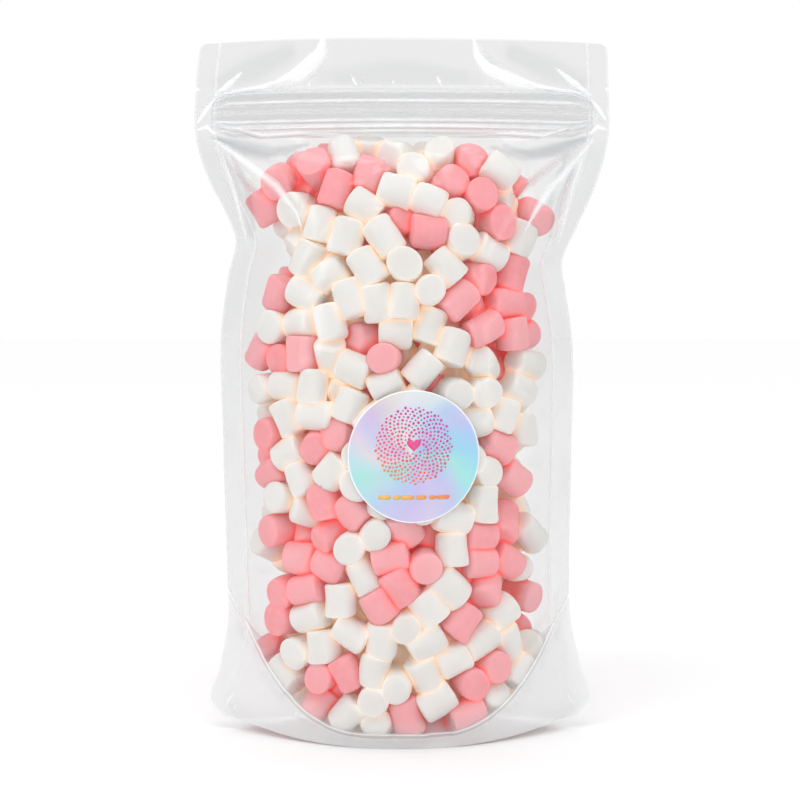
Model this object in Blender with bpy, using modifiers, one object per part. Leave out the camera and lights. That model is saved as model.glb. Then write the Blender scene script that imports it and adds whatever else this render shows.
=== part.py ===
"""A clear stand-up zip pouch filled with white and pink mini marshmallows.

The sealed pouch is one closed solid: a film envelope lofted from its front outline and its depth,
with the marshmallows that press against the film fused on as relief. A round sticker lies on it.
Units are metres, +Z is up, the pouch faces -Y, and the origin is under its middle, on the table.
"""

import math

import bmesh
import bpy
import numpy as np
from mathutils import Matrix, Vector

MM = 0.001
TINY = 1e-9

# Pouch
POUCH_HEIGHT = 274 * MM
TOP_CORNER_DROP = 2.2 * MM
BASE_CORNER_LIFT = 5.5 * MM
SEAL_WIDTH = 8 * MM
SEAL_HALF_THICKNESS = 0.6 * MM
SKIRT_THICKNESS = 1.4 * MM

# The pouch's outline from the front: (height, distance from the middle), in mm
LEFT_EDGE = (
    (0, 71.0), (5, 75.4), (20, 72.6), (40, 69.0), (62, 69.3), (110, 70.4), (165, 70.2),
    (182, 67.8), (197, 65.0), (206, 68.4), (220, 75.4), (236, 80.2), (256, 80.2), (275, 78.2),
)
RIGHT_EDGE = (
    (0, 71.0), (5, 75.4), (20, 72.6), (40, 68.2), (62, 67.4), (110, 68.0), (160, 67.4),
    (176, 65.0), (187, 63.6), (200, 69.0), (217, 76.4), (236, 81.4), (256, 81.4), (275, 80.6),
)
# Half the pouch's depth at its middle: (height, half depth), in mm
BELLY = (
    (0, 28.5), (12, 31.0), (40, 33.5), (80, 33.5), (120, 32.5), (160, 30.5), (195, 27.0),
    (215, 21.5), (226, 16.0), (234, 9.0), (239, 4.2), (243, 2.5), (250, 2.0), (262, 1.8), (275, 1.6),
)
BELLY_ROUNDNESS = 0.9
TOP_CORNER_RADIUS = 3 * MM

# Zip: ribs that run across the film, as (height, how far each stands proud), in mm
ZIP_RIBS = ((238.5, 0.7), (242.0, 0.9), (246.0, 1.1), (249.5, 1.0), (255.0, 0.7))
RIB_HALF_WIDTH = 0.9 * MM
NOTCH_HEIGHT = 256 * MM
NOTCH_DEPTH = 2.4 * MM
NOTCH_HALF_WIDTH = 0.9 * MM
NOTCH_OUTSIDE_SHARE = 0.2

# Base gusset: its seal to the front and back is a U, low in the middle and high at the sides
GUSSET_REACH = 61 * MM
GUSSET_RISE = 33 * MM
GUSSET_POWER = 2.2
GUSSET_SEAL_LOW = 6 * MM
RESTING_HALF_LENGTH = 14 * MM
TUNNEL_END_WALL = 3.5 * MM
TUNNEL_COLUMNS = 12
TUNNEL_ROWS = 7
CUTTER_OVERSHOOT = 10 * MM

# Marshmallows
MARSHMALLOW_RADIUS = (5.8 * MM, 6.5 * MM)
MARSHMALLOW_HALF_LENGTH = (6.1 * MM, 7.3 * MM)
MARSHMALLOW_ROUNDING = 2.2 * MM
MARSHMALLOW_COUNT = 480

# Packing of the marshmallows: where they start, how they grow and how they press on each other
START_CORNERS = ((-60 * MM, -34 * MM, 6 * MM), (60 * MM, 34 * MM, 232 * MM))
START_CLEARANCE = 4 * MM
START_GROWTH = 0.6
PACKING_STEPS = 180
RIM_POINTS = 6
TURNING_RADIUS = 5 * MM
RESPONSE = 1.3
SHARING_POWER = 0.75
SIDE_CLEARANCE = 1.5 * MM
SETTLE_STEP = 0.12 * MM
SPREAD_STEP = 0.15 * MM
SLOPE_STEP = 0.5 * MM

# The heap's top
HEAP_TOP = 236 * MM
HEAP_SHOULDER_DROP = 30 * MM
HEAP_HALF_WIDTH = 62 * MM
HEAP_SHOULDER_POWER = 3.5
HEAP_TILT = 0.06

PINK_SHARE = 0.42
SEED = 11

# Sticker
STICKER_RADIUS = 25 * MM
STICKER_PLACE = (5 * MM, 113.5 * MM)
STICKER_GAP = 0.35 * MM
STICKER_THICKNESS = 0.5 * MM
STICKER_RINGS = 3
STICKER_SEAT = 3 * MM
STICKER_SIDES = 36

# Relief of the filled zone
CORE_INSET = 5 * MM
INSET_BLEND = 8 * MM
INSET_FROM_DEPTH = 6 * MM
SHOWN_WITHIN = 1.6 * MM
SHOWN_WHERE_FILLED = 0.75
RELIEF_SIDES = 7
RELIEF_SCALE = 0.965

# Lofting
INNER_COLUMNS = 14
BODY_ROWS = 18
BELOW_ZIP = 2.5 * MM
BASE_CORNER_ROWS = (2 * MM, 5 * MM)
ROWS_BELOW_TOP = (12 * MM, 3 * MM, 1.2 * MM, 0)


def through(stations, at):
    """Smooth curve through (position, value) stations given in mm, read at positions in metres."""
    knots, values = np.array(stations, float).T * MM
    slopes = np.gradient(values, knots)
    at = np.clip(at, knots[0], knots[-1])
    upper = np.clip(np.searchsorted(knots, at, side="right"), 1, len(knots) - 1)
    lower = upper - 1
    span = knots[upper] - knots[lower]
    t = (at - knots[lower]) / span
    start = (1 + 2 * t) * (1 - t) ** 2 * values[lower] + t * (1 - t) ** 2 * span * slopes[lower]
    end = t * t * (3 - 2 * t) * values[upper] + t * t * (t - 1) * span * slopes[upper]
    return start + end


def smooth_step(t):
    t = np.clip(t, 0, 1)
    return t * t * (3 - 2 * t)


def outline(x, z):
    """Distance from the middle to the film's outer edge, on the side of x."""
    return np.where(x < 0, through(LEFT_EDGE, z), through(RIGHT_EDGE, z))


def half_depth(x, z):
    """Distance from the middle plane to the film, which is thin in the side seals."""
    share = np.clip(np.abs(x) / (outline(x, z) - SEAL_WIDTH), 0, 1)
    return SEAL_HALF_THICKNESS + through(BELLY, z) * (1 - share**2) ** BELLY_ROUNDNESS


def gusset_floor(x, share=0.0):
    """Height of the base film; share is 0 at the middle plane and 1 at the U seal to the front or back."""
    run = np.clip(np.abs(x) - RESTING_HALF_LENGTH, 0, None) / (GUSSET_REACH - RESTING_HALF_LENGTH)
    return GUSSET_RISE * run**GUSSET_POWER + GUSSET_SEAL_LOW * np.asarray(share) ** 2


def heap_top(x):
    """Height of the marshmallow heap's top, a dome that slopes a little to the right."""
    shoulder = np.clip(np.abs(x) / HEAP_HALF_WIDTH, 0, 1.1) ** HEAP_SHOULDER_POWER
    return HEAP_TOP - HEAP_TILT * x - HEAP_SHOULDER_DROP * shoulder


def pack_marshmallows(count, generator):
    """Random close packing inside the film: (centres, axes, radii, half lengths).

    Overlapping pieces push each other apart and turn, while they grow to full size and settle.
    """
    radius = generator.uniform(*MARSHMALLOW_RADIUS, count)
    half = generator.uniform(*MARSHMALLOW_HALF_LENGTH, count)
    centres = []
    while len(centres) < count:
        x, y, z = generator.uniform(*START_CORNERS)
        within_film = abs(y) < half_depth(x, z) - START_CLEARANCE
        if within_film and gusset_floor(x) + START_CLEARANCE < z < heap_top(x) - START_CLEARANCE:
            centres.append((x, y, z))
    centres = np.array(centres)
    axes = unit(generator.normal(size=(count, 3)))
    for step in range(PACKING_STEPS):
        progress = step / PACKING_STEPS
        grown = START_GROWTH + (1 - START_GROWTH) * smooth_step(2 * progress)
        centres[:, 1] += SPREAD_STEP * (1 - progress) * np.sign(centres[:, 1])
        centres[:, 2] -= SETTLE_STEP * (1 - progress)
        for pushes in (contact_pushes, film_pushes, film_pushes):
            push, turn = pushes(centres, axes, radius * grown, half * grown)
            centres += push
            axes = unit(axes + np.cross(turn, axes))
    return centres, axes, radius, half


def unit(vectors):
    return vectors / np.linalg.norm(vectors, axis=-1, keepdims=True)


def surface_points(centres, axes, radius, half):
    """Points on each marshmallow: two bevelled rims, a waist and both ends, as (count, points, 3)."""
    helper = np.where(np.abs(axes[:, 2:]) < 0.7, (0.0, 0.0, 1.0), (1.0, 0.0, 0.0))
    side = unit(np.cross(axes, helper))
    other = np.cross(axes, side)
    bevel = MARSHMALLOW_ROUNDING * (1 - math.sqrt(0.5))
    angles = np.arange(RIM_POINTS) * math.tau / RIM_POINTS
    ring = side[:, None] * np.cos(angles)[:, None] + other[:, None] * np.sin(angles)[:, None]
    rim = ring * (radius - bevel)[:, None, None]
    along = axes[:, None] * (half - bevel)[:, None, None]
    ends = axes[:, None] * half[:, None, None] * np.array((1.0, -1.0))[:, None]
    points = np.concatenate((rim + along, rim - along, ring * radius[:, None, None], ends), axis=1)
    return centres[:, None] + points


def contact_pushes(centres, axes, radius, half):
    """Moves and turns that part overlapping marshmallows, averaged over each one's contacts."""
    apart = np.linalg.norm(centres[:, None] - centres[None], axis=2)
    reach = np.hypot(radius, half)
    first, second = np.nonzero((apart < reach[:, None] + reach[None]) & (apart > 0))
    points = surface_points(centres, axes, radius, half)[second]
    offset = points - centres[first][:, None]
    along = np.einsum("pkc,pc->pk", offset, axes[first])
    radial = offset - along[..., None] * axes[first][:, None]
    distance = np.maximum(np.linalg.norm(radial, axis=2), TINY)
    rounding = MARSHMALLOW_ROUNDING
    past_side = distance - (radius[first] - rounding)[:, None]
    past_end = np.abs(along) - (half[first] - rounding)[:, None]
    corner = np.hypot(np.maximum(past_side, 0), np.maximum(past_end, 0))
    depth = rounding - corner - np.minimum(np.maximum(past_side, past_end), 0)
    hit = depth > 0
    to_side = radial / distance[..., None]
    to_end = np.sign(along)[..., None] * axes[first][:, None]
    blend = np.maximum(past_side, 0)[..., None] * to_side + np.maximum(past_end, 0)[..., None] * to_end
    flat = np.where((past_side > past_end)[..., None], to_side, to_end)
    normal = np.where((corner > TINY)[..., None], blend / np.maximum(corner, TINY)[..., None], flat)
    return gathered(centres, points, hit, depth, normal, ((second, 0.5), (first, -0.5)))


def film_pushes(centres, axes, radius, half):
    """Moves and turns that bring marshmallows back inside the film, the base and the heap's top."""
    points = surface_points(centres, axes, radius, half)
    x, y, z = np.moveaxis(points, 2, 0)
    step = SLOPE_STEP
    limit = half_depth(x, z) - SEAL_HALF_THICKNESS
    slope_x = (half_depth(x + step, z) - half_depth(x - step, z)) / (2 * step)
    slope_z = (half_depth(x, z + step) - half_depth(x, z - step)) / (2 * step)
    steepness = np.sqrt(1 + slope_x**2 + slope_z**2)
    outward = np.stack((-slope_x, np.sign(y), -slope_z), axis=2) / steepness[..., None]
    up = np.zeros_like(points)
    up[..., 2] = 1
    across = np.zeros_like(points)
    across[..., 0] = np.sign(x)
    own = np.arange(len(centres))
    share = np.clip(np.abs(y) / (limit + MM), 0, 1)
    walls = (
        ((np.abs(y) - limit) / steepness, -outward),
        (gusset_floor(x, share) - z, up),
        (z - heap_top(x), -up),
        (np.abs(x) - (outline(x, z) - SEAL_WIDTH - SIDE_CLEARANCE), -across),
    )
    push, turn = np.zeros_like(centres), np.zeros_like(centres)
    for depth, normal in walls:
        move, spin = gathered(centres, points, depth > 0, depth, normal, ((own, 1.0),))
        push += move
        turn += spin
    return push, turn


def gathered(centres, points, hit, depth, normal, sides):
    """Pushes and turns at the points hit, added up for each side's owners and averaged for each one."""
    count = len(centres)
    push, turn, weight = np.zeros((count, 3)), np.zeros((count, 3)), np.zeros(count)
    rows, _ = np.nonzero(hit)
    for owner, part in sides:
        owners = owner[rows]
        force = normal[hit] * (depth[hit] * part)[:, None]
        lever = points[hit] - centres[owners]
        ease = 1 + (np.cross(lever, normal[hit]) ** 2).sum(axis=1) / TURNING_RADIUS**2
        spin = np.cross(lever, force) / TURNING_RADIUS**2
        for axis in range(3):
            push[:, axis] += np.bincount(owners, force[:, axis] / ease, count)
            turn[:, axis] += np.bincount(owners, spin[:, axis] / ease, count)
        weight += np.bincount(owners, minlength=count)
    share = RESPONSE / np.maximum(weight, 1)[:, None] ** SHARING_POWER
    return push * share, turn * share


def clear_scene():
    for found in list(bpy.data.objects):
        bpy.data.objects.remove(found)


def plain_material(name, colour, roughness, alpha=1.0):
    made = bpy.data.materials.new(name)
    made.use_nodes = True
    shader = made.node_tree.nodes["Principled BSDF"]
    shader.inputs["Base Color"].default_value = (*colour, 1)
    shader.inputs["Roughness"].default_value = roughness
    shader.inputs["Metallic"].default_value = 0
    shader.inputs["Alpha"].default_value = alpha
    return made


def object_from(mesh_builder, name, collection, material):
    mesh = bpy.data.meshes.new(name)
    mesh_builder.to_mesh(mesh)
    mesh_builder.free()
    mesh.materials.append(material)
    made = bpy.data.objects.new(name, mesh)
    collection.objects.link(made)
    return made


def slab(columns, rows, place):
    """A closed slab: a grid and its extruded copy, with vertices where place(column, row, is_copy) says."""
    builder = bmesh.new()
    bmesh.ops.create_grid(builder, x_segments=columns - 1, y_segments=rows - 1, size=1)
    grid = list(builder.verts)
    copy = bmesh.ops.extrude_face_region(builder, geom=builder.faces[:], use_keep_orig=True)
    layers = ((grid, 0), ([v for v in copy["geom"] if isinstance(v, bmesh.types.BMVert)], 1))
    for vertices, is_copy in layers:
        for vertex in vertices:
            column = round((vertex.co.x + 1) / 2 * (columns - 1))
            row = round((vertex.co.y + 1) / 2 * (rows - 1))
            vertex.co = place(column, row, is_copy)
    bmesh.ops.recalc_face_normals(builder, faces=builder.faces)
    return builder


def pouch_heights():
    """Heights of the loft's rows: closer at the base corners, at each zip rib and at the rounded top."""
    body = np.linspace(0, ZIP_RIBS[0][0] * MM - BELOW_ZIP, BODY_ROWS)
    zip_rows = [rib * MM + side * RIB_HALF_WIDTH for rib, _ in ZIP_RIBS for side in (-1, 0, 1)]
    top = POUCH_HEIGHT - np.array(ROWS_BELOW_TOP)
    return np.sort(np.concatenate((body, BASE_CORNER_ROWS, zip_rows, top)))


def rib_relief(z):
    """How far the zip's ribs push the film out at this height."""
    proud = np.zeros_like(z)
    for rib, height in ZIP_RIBS:
        proud += height * MM * np.clip(1 - np.abs(z - rib * MM) / RIB_HALF_WIDTH, 0, 1)
    return proud


def filled_zone(x, z):
    """1 where marshmallows fill the pouch behind the film and 0 where it is empty."""
    deep = smooth_step((half_depth(x, z) - INSET_FROM_DEPTH) / INSET_BLEND)
    below_top = smooth_step((heap_top(x) - z) / INSET_BLEND)
    above_base = smooth_step((z - gusset_floor(x, 1.0) - GUSSET_SEAL_LOW) / INSET_BLEND)
    return deep * below_top * above_base


def under_sticker(x, z, margin):
    """True behind the sticker, out to its edge and the margin round it."""
    return math.hypot(x - STICKER_PLACE[0], z - STICKER_PLACE[1]) < STICKER_RADIUS + margin


def build_core(collection, film):
    """The film envelope as one lofted solid, drawn in behind the marshmallows that will show."""
    heights = pouch_heights()
    inner = np.sin(np.linspace(-1, 1, INNER_COLUMNS + 1) * math.pi / 2)

    def place(column, row, is_back):
        z = heights[row]
        side = -1 if column <= INNER_COLUMNS // 2 else 1
        edge = float(outline(np.float64(side), z))
        edge -= TOP_CORNER_RADIUS * (1 - math.sqrt(1 - corner_share(z) ** 2))
        if column in (0, INNER_COLUMNS + 2):
            x = side * edge
        else:
            x = inner[column - 1] * (edge - SEAL_WIDTH)
        inset = CORE_INSET * float(filled_zone(x, z))
        if not is_back and under_sticker(x, z, STICKER_SEAT):
            inset = 0
        depth = float(half_depth(x, z)) - inset
        depth += float(rib_relief(z)) * (abs(x) < edge - SEAL_WIDTH - MM)
        share = abs(x) / edge
        rise = z / POUCH_HEIGHT
        height = z + BASE_CORNER_LIFT * share**3 * (1 - rise) - TOP_CORNER_DROP * share**2 * rise
        return Vector((x, depth if is_back else -depth, height))

    return object_from(slab(INNER_COLUMNS + 3, len(heights), place), "pouch", collection, film)


def corner_share(z):
    """0 below the rounded top corners and 1 at the very top."""
    return min(max((z - POUCH_HEIGHT + TOP_CORNER_RADIUS) / TOP_CORNER_RADIUS, 0), 1)


def gusset_tunnel(side, cutters, film):
    """The hollow under the base film on one side, between the front and back skirts."""
    run = np.linspace(RESTING_HALF_LENGTH, GUSSET_REACH - TUNNEL_END_WALL, TUNNEL_COLUMNS)

    def place(column, row, is_low):
        x = side * run[column]
        share = -1 + 2 * row / (TUNNEL_ROWS - 1)
        z = -CUTTER_OVERSHOOT if is_low else float(gusset_floor(x, share))
        wall = float(half_depth(x, max(z, 0))) - SKIRT_THICKNESS
        return Vector((x, share * wall, z))

    hide_helper(object_from(slab(TUNNEL_COLUMNS, TUNNEL_ROWS, place), "gusset_tunnel", cutters, film))


def tear_notch(side, cutters, film):
    """A small V at the pouch's edge, level with the top of the zip."""
    builder = bmesh.new()
    bmesh.ops.create_cone(
        builder, cap_ends=True, segments=3, radius1=NOTCH_DEPTH, radius2=NOTCH_DEPTH, depth=SEAL_WIDTH
    )
    bmesh.ops.scale(builder, vec=(1, NOTCH_HALF_WIDTH / NOTCH_DEPTH, 1), verts=builder.verts)
    bmesh.ops.rotate(builder, matrix=Matrix.Rotation(math.pi / 2, 3, "X"), verts=builder.verts)
    if side > 0:
        bmesh.ops.rotate(builder, matrix=Matrix.Rotation(math.pi, 3, "Z"), verts=builder.verts)
    edge = float(outline(np.float64(side), NOTCH_HEIGHT)) - NOTCH_DEPTH * NOTCH_OUTSIDE_SHARE
    place = (side * edge, 0, NOTCH_HEIGHT - TOP_CORNER_DROP)
    bmesh.ops.translate(builder, vec=place, verts=builder.verts)
    hide_helper(object_from(builder, "tear_notch", cutters, film))


def hide_helper(helper):
    helper.hide_render = True
    helper.display_type = "WIRE"


def marshmallow_relief(collection, materials, generator):
    """A few-sided solid for each marshmallow that presses against the film, but behind the sticker."""
    centres, axes, radius, half = pack_marshmallows(MARSHMALLOW_COUNT, generator)
    points = surface_points(centres, axes, radius, half)
    x, y, z = np.moveaxis(points, 2, 0)
    gap = (half_depth(x, z) - np.abs(y)).min(axis=1)
    filled = filled_zone(centres[:, 0], centres[:, 2])
    stands_out = (gap < SHOWN_WITHIN) & (filled > SHOWN_WHERE_FILLED)
    for index in np.nonzero(stands_out)[0]:
        across, depth, height = centres[index]
        if depth < 0 and under_sticker(across, height, -STICKER_SEAT):
            continue
        builder = bmesh.new()
        girth, length = RELIEF_SCALE * radius[index], RELIEF_SCALE * 2 * half[index]
        bmesh.ops.create_cone(
            builder, cap_ends=True, segments=RELIEF_SIDES, radius1=girth, radius2=girth, depth=length
        )
        turn = Vector((0, 0, 1)).rotation_difference(Vector(axes[index])).to_matrix()
        bmesh.ops.rotate(builder, matrix=turn, verts=builder.verts)
        bmesh.ops.translate(builder, vec=centres[index], verts=builder.verts)
        colour = materials[int(generator.random() < PINK_SHARE)]
        hide_helper(object_from(builder, f"marshmallow_{index}", collection, colour))


def apply_boolean(target, operation, operands, solver):
    """Joins to or cuts from the target all objects of a collection at once, and keeps the result."""
    boolean = target.modifiers.new(operation.lower(), "BOOLEAN")
    boolean.operation = operation
    boolean.operand_type = "COLLECTION"
    boolean.collection = operands
    boolean.solver = solver
    boolean.material_mode = "TRANSFER"
    graph = bpy.context.evaluated_depsgraph_get()
    result = bpy.data.meshes.new_from_object(target.evaluated_get(graph), depsgraph=graph)
    target.modifiers.clear()
    target.data = result
    for operand in list(operands.objects):
        bpy.data.objects.remove(operand)


def keep_largest_body(mesh):
    """Fills hollows that the union sealed and drops loose scraps: both are islands beside the main one."""
    builder = bmesh.new()
    builder.from_mesh(mesh)
    unseen = set(builder.verts)
    islands = []
    while unseen:
        island, edge_of_island = set(), {unseen.pop()}
        while edge_of_island:
            island |= edge_of_island
            linked = {edge.other_vert(vertex) for vertex in edge_of_island for edge in vertex.link_edges}
            edge_of_island = linked - island
        unseen -= island
        islands.append(island)
    largest = max(islands, key=len)
    extra = [vertex for island in islands if island is not largest for vertex in island]
    bmesh.ops.delete(builder, geom=extra, context="VERTS")
    builder.to_mesh(mesh)
    builder.free()


def shade_rounded(mesh):
    mesh.shade_smooth()
    mesh.set_sharp_from_angle(angle=math.radians(30))


def build_sticker(collection, foil):
    """A round sticker that follows the film's curve."""
    builder = bmesh.new()
    bmesh.ops.create_circle(builder, cap_ends=True, segments=STICKER_SIDES, radius=STICKER_RADIUS)
    for _ in range(STICKER_RINGS - 1):
        middle = [face for face in builder.faces if len(face.verts) == STICKER_SIDES]
        bmesh.ops.inset_region(
            builder, faces=middle, thickness=STICKER_RADIUS / STICKER_RINGS, use_boundary=True
        )
    middle = [face for face in builder.faces if len(face.verts) == STICKER_SIDES]
    bmesh.ops.poke(builder, faces=middle)
    middle_x, middle_z = STICKER_PLACE
    for vertex in builder.verts:
        vertex.co = on_film(middle_x + vertex.co.x, middle_z + vertex.co.y, STICKER_GAP)
    sticker = object_from(builder, "sticker", collection, foil)
    shell = sticker.modifiers.new("thickness", "SOLIDIFY")
    shell.thickness = STICKER_THICKNESS
    shell.offset = 1
    shade_rounded(sticker.data)


def on_film(x, z, lift):
    return Vector((x, -float(half_depth(x, z)) - lift, z))


def main():
    clear_scene()
    generator = np.random.default_rng(SEED)
    parts = bpy.data.collections.new("marshmallow_pouch")
    relief = bpy.data.collections.new("relief")
    cutters = bpy.data.collections.new("cutters")
    for collection in (parts, relief, cutters):
        bpy.context.scene.collection.children.link(collection)

    film = plain_material("clear_film", (0.9, 0.9, 0.91), 0.12, alpha=0.5)
    white = plain_material("white_marshmallow", (0.93, 0.9, 0.86), 0.85)
    pink = plain_material("pink_marshmallow", (0.94, 0.42, 0.48), 0.85)
    foil = plain_material("sticker_foil", (0.72, 0.8, 0.95), 0.2)

    pouch = build_core(parts, film)
    marshmallow_relief(relief, (white, pink), generator)
    apply_boolean(pouch, "UNION", relief, "MANIFOLD")
    for side in (-1, 1):
        gusset_tunnel(side, cutters, film)
        tear_notch(side, cutters, film)
    apply_boolean(pouch, "DIFFERENCE", cutters, "MANIFOLD")
    keep_largest_body(pouch.data)
    shade_rounded(pouch.data)
    build_sticker(parts, foil)


main()
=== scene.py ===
"""Looks of the marshmallow pouch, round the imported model: film, zip, marshmallows and foil sticker.

The marshmallows are packed by the same rule and seed as in the part's source, so that they lie where
its relief is. Units are metres, +Z is up, and the pouch faces -Y.
"""

import math

import bpy
import numpy as np
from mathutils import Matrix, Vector


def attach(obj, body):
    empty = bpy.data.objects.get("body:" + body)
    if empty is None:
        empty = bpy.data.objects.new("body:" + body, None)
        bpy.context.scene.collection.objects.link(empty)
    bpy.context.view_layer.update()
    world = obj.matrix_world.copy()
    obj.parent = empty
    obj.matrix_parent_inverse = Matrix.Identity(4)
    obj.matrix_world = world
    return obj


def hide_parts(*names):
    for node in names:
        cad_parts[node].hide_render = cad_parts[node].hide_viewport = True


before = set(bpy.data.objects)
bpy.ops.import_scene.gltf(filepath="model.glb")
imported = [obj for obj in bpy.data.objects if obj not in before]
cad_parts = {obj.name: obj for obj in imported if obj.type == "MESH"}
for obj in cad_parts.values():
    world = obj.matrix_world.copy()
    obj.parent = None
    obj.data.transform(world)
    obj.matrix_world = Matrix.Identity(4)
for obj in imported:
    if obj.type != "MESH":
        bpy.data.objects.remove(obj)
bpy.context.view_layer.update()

MM = 0.001
TINY = 1e-9

# Pouch, as in the part's source
POUCH_HEIGHT = 274 * MM
TOP_CORNER_DROP = 2.2 * MM
TOP_CORNER_RADIUS = 3 * MM
BASE_CORNER_LIFT = 5.5 * MM
SEAL_WIDTH = 8 * MM
SEAL_HALF_THICKNESS = 0.6 * MM
LEFT_EDGE = (
    (0, 71.0), (5, 75.4), (20, 72.6), (40, 69.0), (62, 69.3), (110, 70.4), (165, 70.2),
    (182, 67.8), (197, 65.0), (206, 68.4), (220, 75.4), (236, 80.2), (256, 80.2), (275, 78.2),
)
RIGHT_EDGE = (
    (0, 71.0), (5, 75.4), (20, 72.6), (40, 68.2), (62, 67.4), (110, 68.0), (160, 67.4),
    (176, 65.0), (187, 63.6), (200, 69.0), (217, 76.4), (236, 81.4), (256, 81.4), (275, 80.6),
)
BELLY = (
    (0, 28.5), (12, 31.0), (40, 33.5), (80, 33.5), (120, 32.5), (160, 30.5), (195, 27.0),
    (215, 21.5), (226, 16.0), (234, 9.0), (239, 4.2), (243, 2.5), (250, 2.0), (262, 1.8), (275, 1.6),
)
BELLY_ROUNDNESS = 0.9
GUSSET_REACH = 61 * MM
GUSSET_RISE = 33 * MM
GUSSET_POWER = 2.2
GUSSET_SEAL_LOW = 6 * MM
RESTING_HALF_LENGTH = 14 * MM
NOTCH_HEIGHT = 256 * MM
NOTCH_DEPTH = 2.4 * MM
NOTCH_HALF_WIDTH = 0.9 * MM

# Marshmallows and their packing, as in the part's source
MARSHMALLOW_RADIUS = (5.8 * MM, 6.5 * MM)
MARSHMALLOW_HALF_LENGTH = (6.1 * MM, 7.3 * MM)
MARSHMALLOW_ROUNDING = 2.2 * MM
MARSHMALLOW_COUNT = 480
START_CORNERS = ((-60 * MM, -34 * MM, 6 * MM), (60 * MM, 34 * MM, 232 * MM))
START_CLEARANCE = 4 * MM
START_GROWTH = 0.6
PACKING_STEPS = 180
RIM_POINTS = 6
TURNING_RADIUS = 5 * MM
RESPONSE = 1.3
SHARING_POWER = 0.75
SIDE_CLEARANCE = 1.5 * MM
SETTLE_STEP = 0.12 * MM
SPREAD_STEP = 0.15 * MM
SLOPE_STEP = 0.5 * MM
HEAP_TOP = 236 * MM
HEAP_SHOULDER_DROP = 30 * MM
HEAP_HALF_WIDTH = 62 * MM
HEAP_SHOULDER_POWER = 3.5
HEAP_TILT = 0.06
SEED = 11

# More marshmallows where the heap's top has room
TOP_CORNERS = ((-58 * MM, -16 * MM, 196 * MM), (56 * MM, 16 * MM, 232 * MM))
TOP_TRIES = 4000
TOP_FROM_FILM = 4.5 * MM
TOP_SPACING = 10.5 * MM
TOP_STEPS = 70
TOP_FIXED_BELOW = 180 * MM
TOP_LOOSENS_OVER = 10 * MM

# Colours of the heap: pink patches on the front as (across, height, radius), in mm
PINK_PATCHES = (
    (-18, 229, 20), (1, 232, 10), (26, 222, 12), (-51, 202, 6), (-54, 174, 6), (5, 203, 8),
    (46, 205, 11), (57, 190, 6), (32, 172, 12), (45, 165, 8), (-40, 154, 8), (-10, 150, 8),
    (12, 138, 8), (-20, 124, 8), (-26, 114, 7), (56, 118, 6), (40, 109, 8), (38, 89, 8),
    (-22, 89, 10), (-38, 72, 17), (-52, 60, 7), (6, 76, 12), (32, 71, 14), (-4, 60, 9),
    (22, 50, 8), (-26, 24, 12), (-46, 42, 8), (32, 27, 7), (52, 39, 7), (5, 10, 8), (26, 12, 8),
)
PINK_SHARE = 0.42

# Form of one marshmallow
FINE_RINGS = (2, 4, 3)
FINE_SEGMENTS = 26
COARSE_RINGS = (1, 2, 1)
COARSE_SEGMENTS = 14
SEEN_WITHIN = 9 * MM
OVAL = 0.07
TAPER = 0.06
BARREL = 0.03
DOME = 0.35 * MM
BEND = 0.7 * MM
LUMP = 0.13 * MM
LUMP_LENGTH = 4 * MM
LUMP_WAVES = (1.0, 1.7, 2.6)
ROUNDING_SHARES = (0.5, 0.8)
FILM_CLEARANCE = 0.6 * MM
CONTACT_GAP = 0.02 * MM
DEEPEST_PRESS = 1.3 * MM
EASING_ROUNDS = 2
CRUSHED_WITHIN = 9 * MM
# Painted light and shade between the marshmallows: a warm tint and a faint glow painted where pieces
# touch and on pieces deep below the film
PAINTED_CREVICE_WIDTH = 3.2 * MM
PAINTED_CREVICE_DEPTH = 7 * MM
PAINTED_CREVICE_AT_FILM = 0.35
PAINTED_DEEP_FROM = 0.8 * PAINTED_CREVICE_DEPTH
PAINTED_DEEP_OVER = 1.5 * PAINTED_CREVICE_DEPTH
FRONT_BELOW_Y = -6 * MM

# Film
FILM_HALF_GAP = 0.25 * MM
ZIP_RIBS = ((238.5, 0.5), (242.0, 0.7), (246.0, 0.8), (249.5, 0.8), (255.0, 0.5))
RIB_HALF_WIDTH = 0.9 * MM
SAG_CELL = 1 * MM
SAG_CELLS = (280, 170)
SAG_CORNER = (-84 * MM, -2 * MM)
SAG_GAP_LIMIT = 4 * MM
SAG_DEEPEST = 1.6 * MM
SAG_SHARE = 0.5
SAG_BLUR = 3
TOUCH_GAP = 0.35 * MM

# Sticker
STICKER_RADIUS = 25 * MM
STICKER_PLACE = (5 * MM, 113.5 * MM)
STICKER_LIFT = 0.35 * MM
STICKER_THICKNESS = 0.35 * MM
STICKER_SIDES = 96


def through(stations, at):
    """Smooth curve through (position, value) stations given in mm, read at positions in metres."""
    knots, values = np.array(stations, float).T * MM
    slopes = np.gradient(values, knots)
    at = np.clip(at, knots[0], knots[-1])
    upper = np.clip(np.searchsorted(knots, at, side="right"), 1, len(knots) - 1)
    lower = upper - 1
    span = knots[upper] - knots[lower]
    t = (at - knots[lower]) / span
    start = (1 + 2 * t) * (1 - t) ** 2 * values[lower] + t * (1 - t) ** 2 * span * slopes[lower]
    end = t * t * (3 - 2 * t) * values[upper] + t * t * (t - 1) * span * slopes[upper]
    return start + end


def smooth_step(t):
    t = np.clip(t, 0, 1)
    return t * t * (3 - 2 * t)


def outline(x, z):
    """Distance from the middle to the film's outer edge, on the side of x."""
    return np.where(x < 0, through(LEFT_EDGE, z), through(RIGHT_EDGE, z))


def half_depth(x, z):
    """Distance from the middle plane to the film, which is thin in the side seals."""
    share = np.clip(np.abs(x) / (outline(x, z) - SEAL_WIDTH), 0, 1)
    return SEAL_HALF_THICKNESS + through(BELLY, z) * (1 - share**2) ** BELLY_ROUNDNESS


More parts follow.
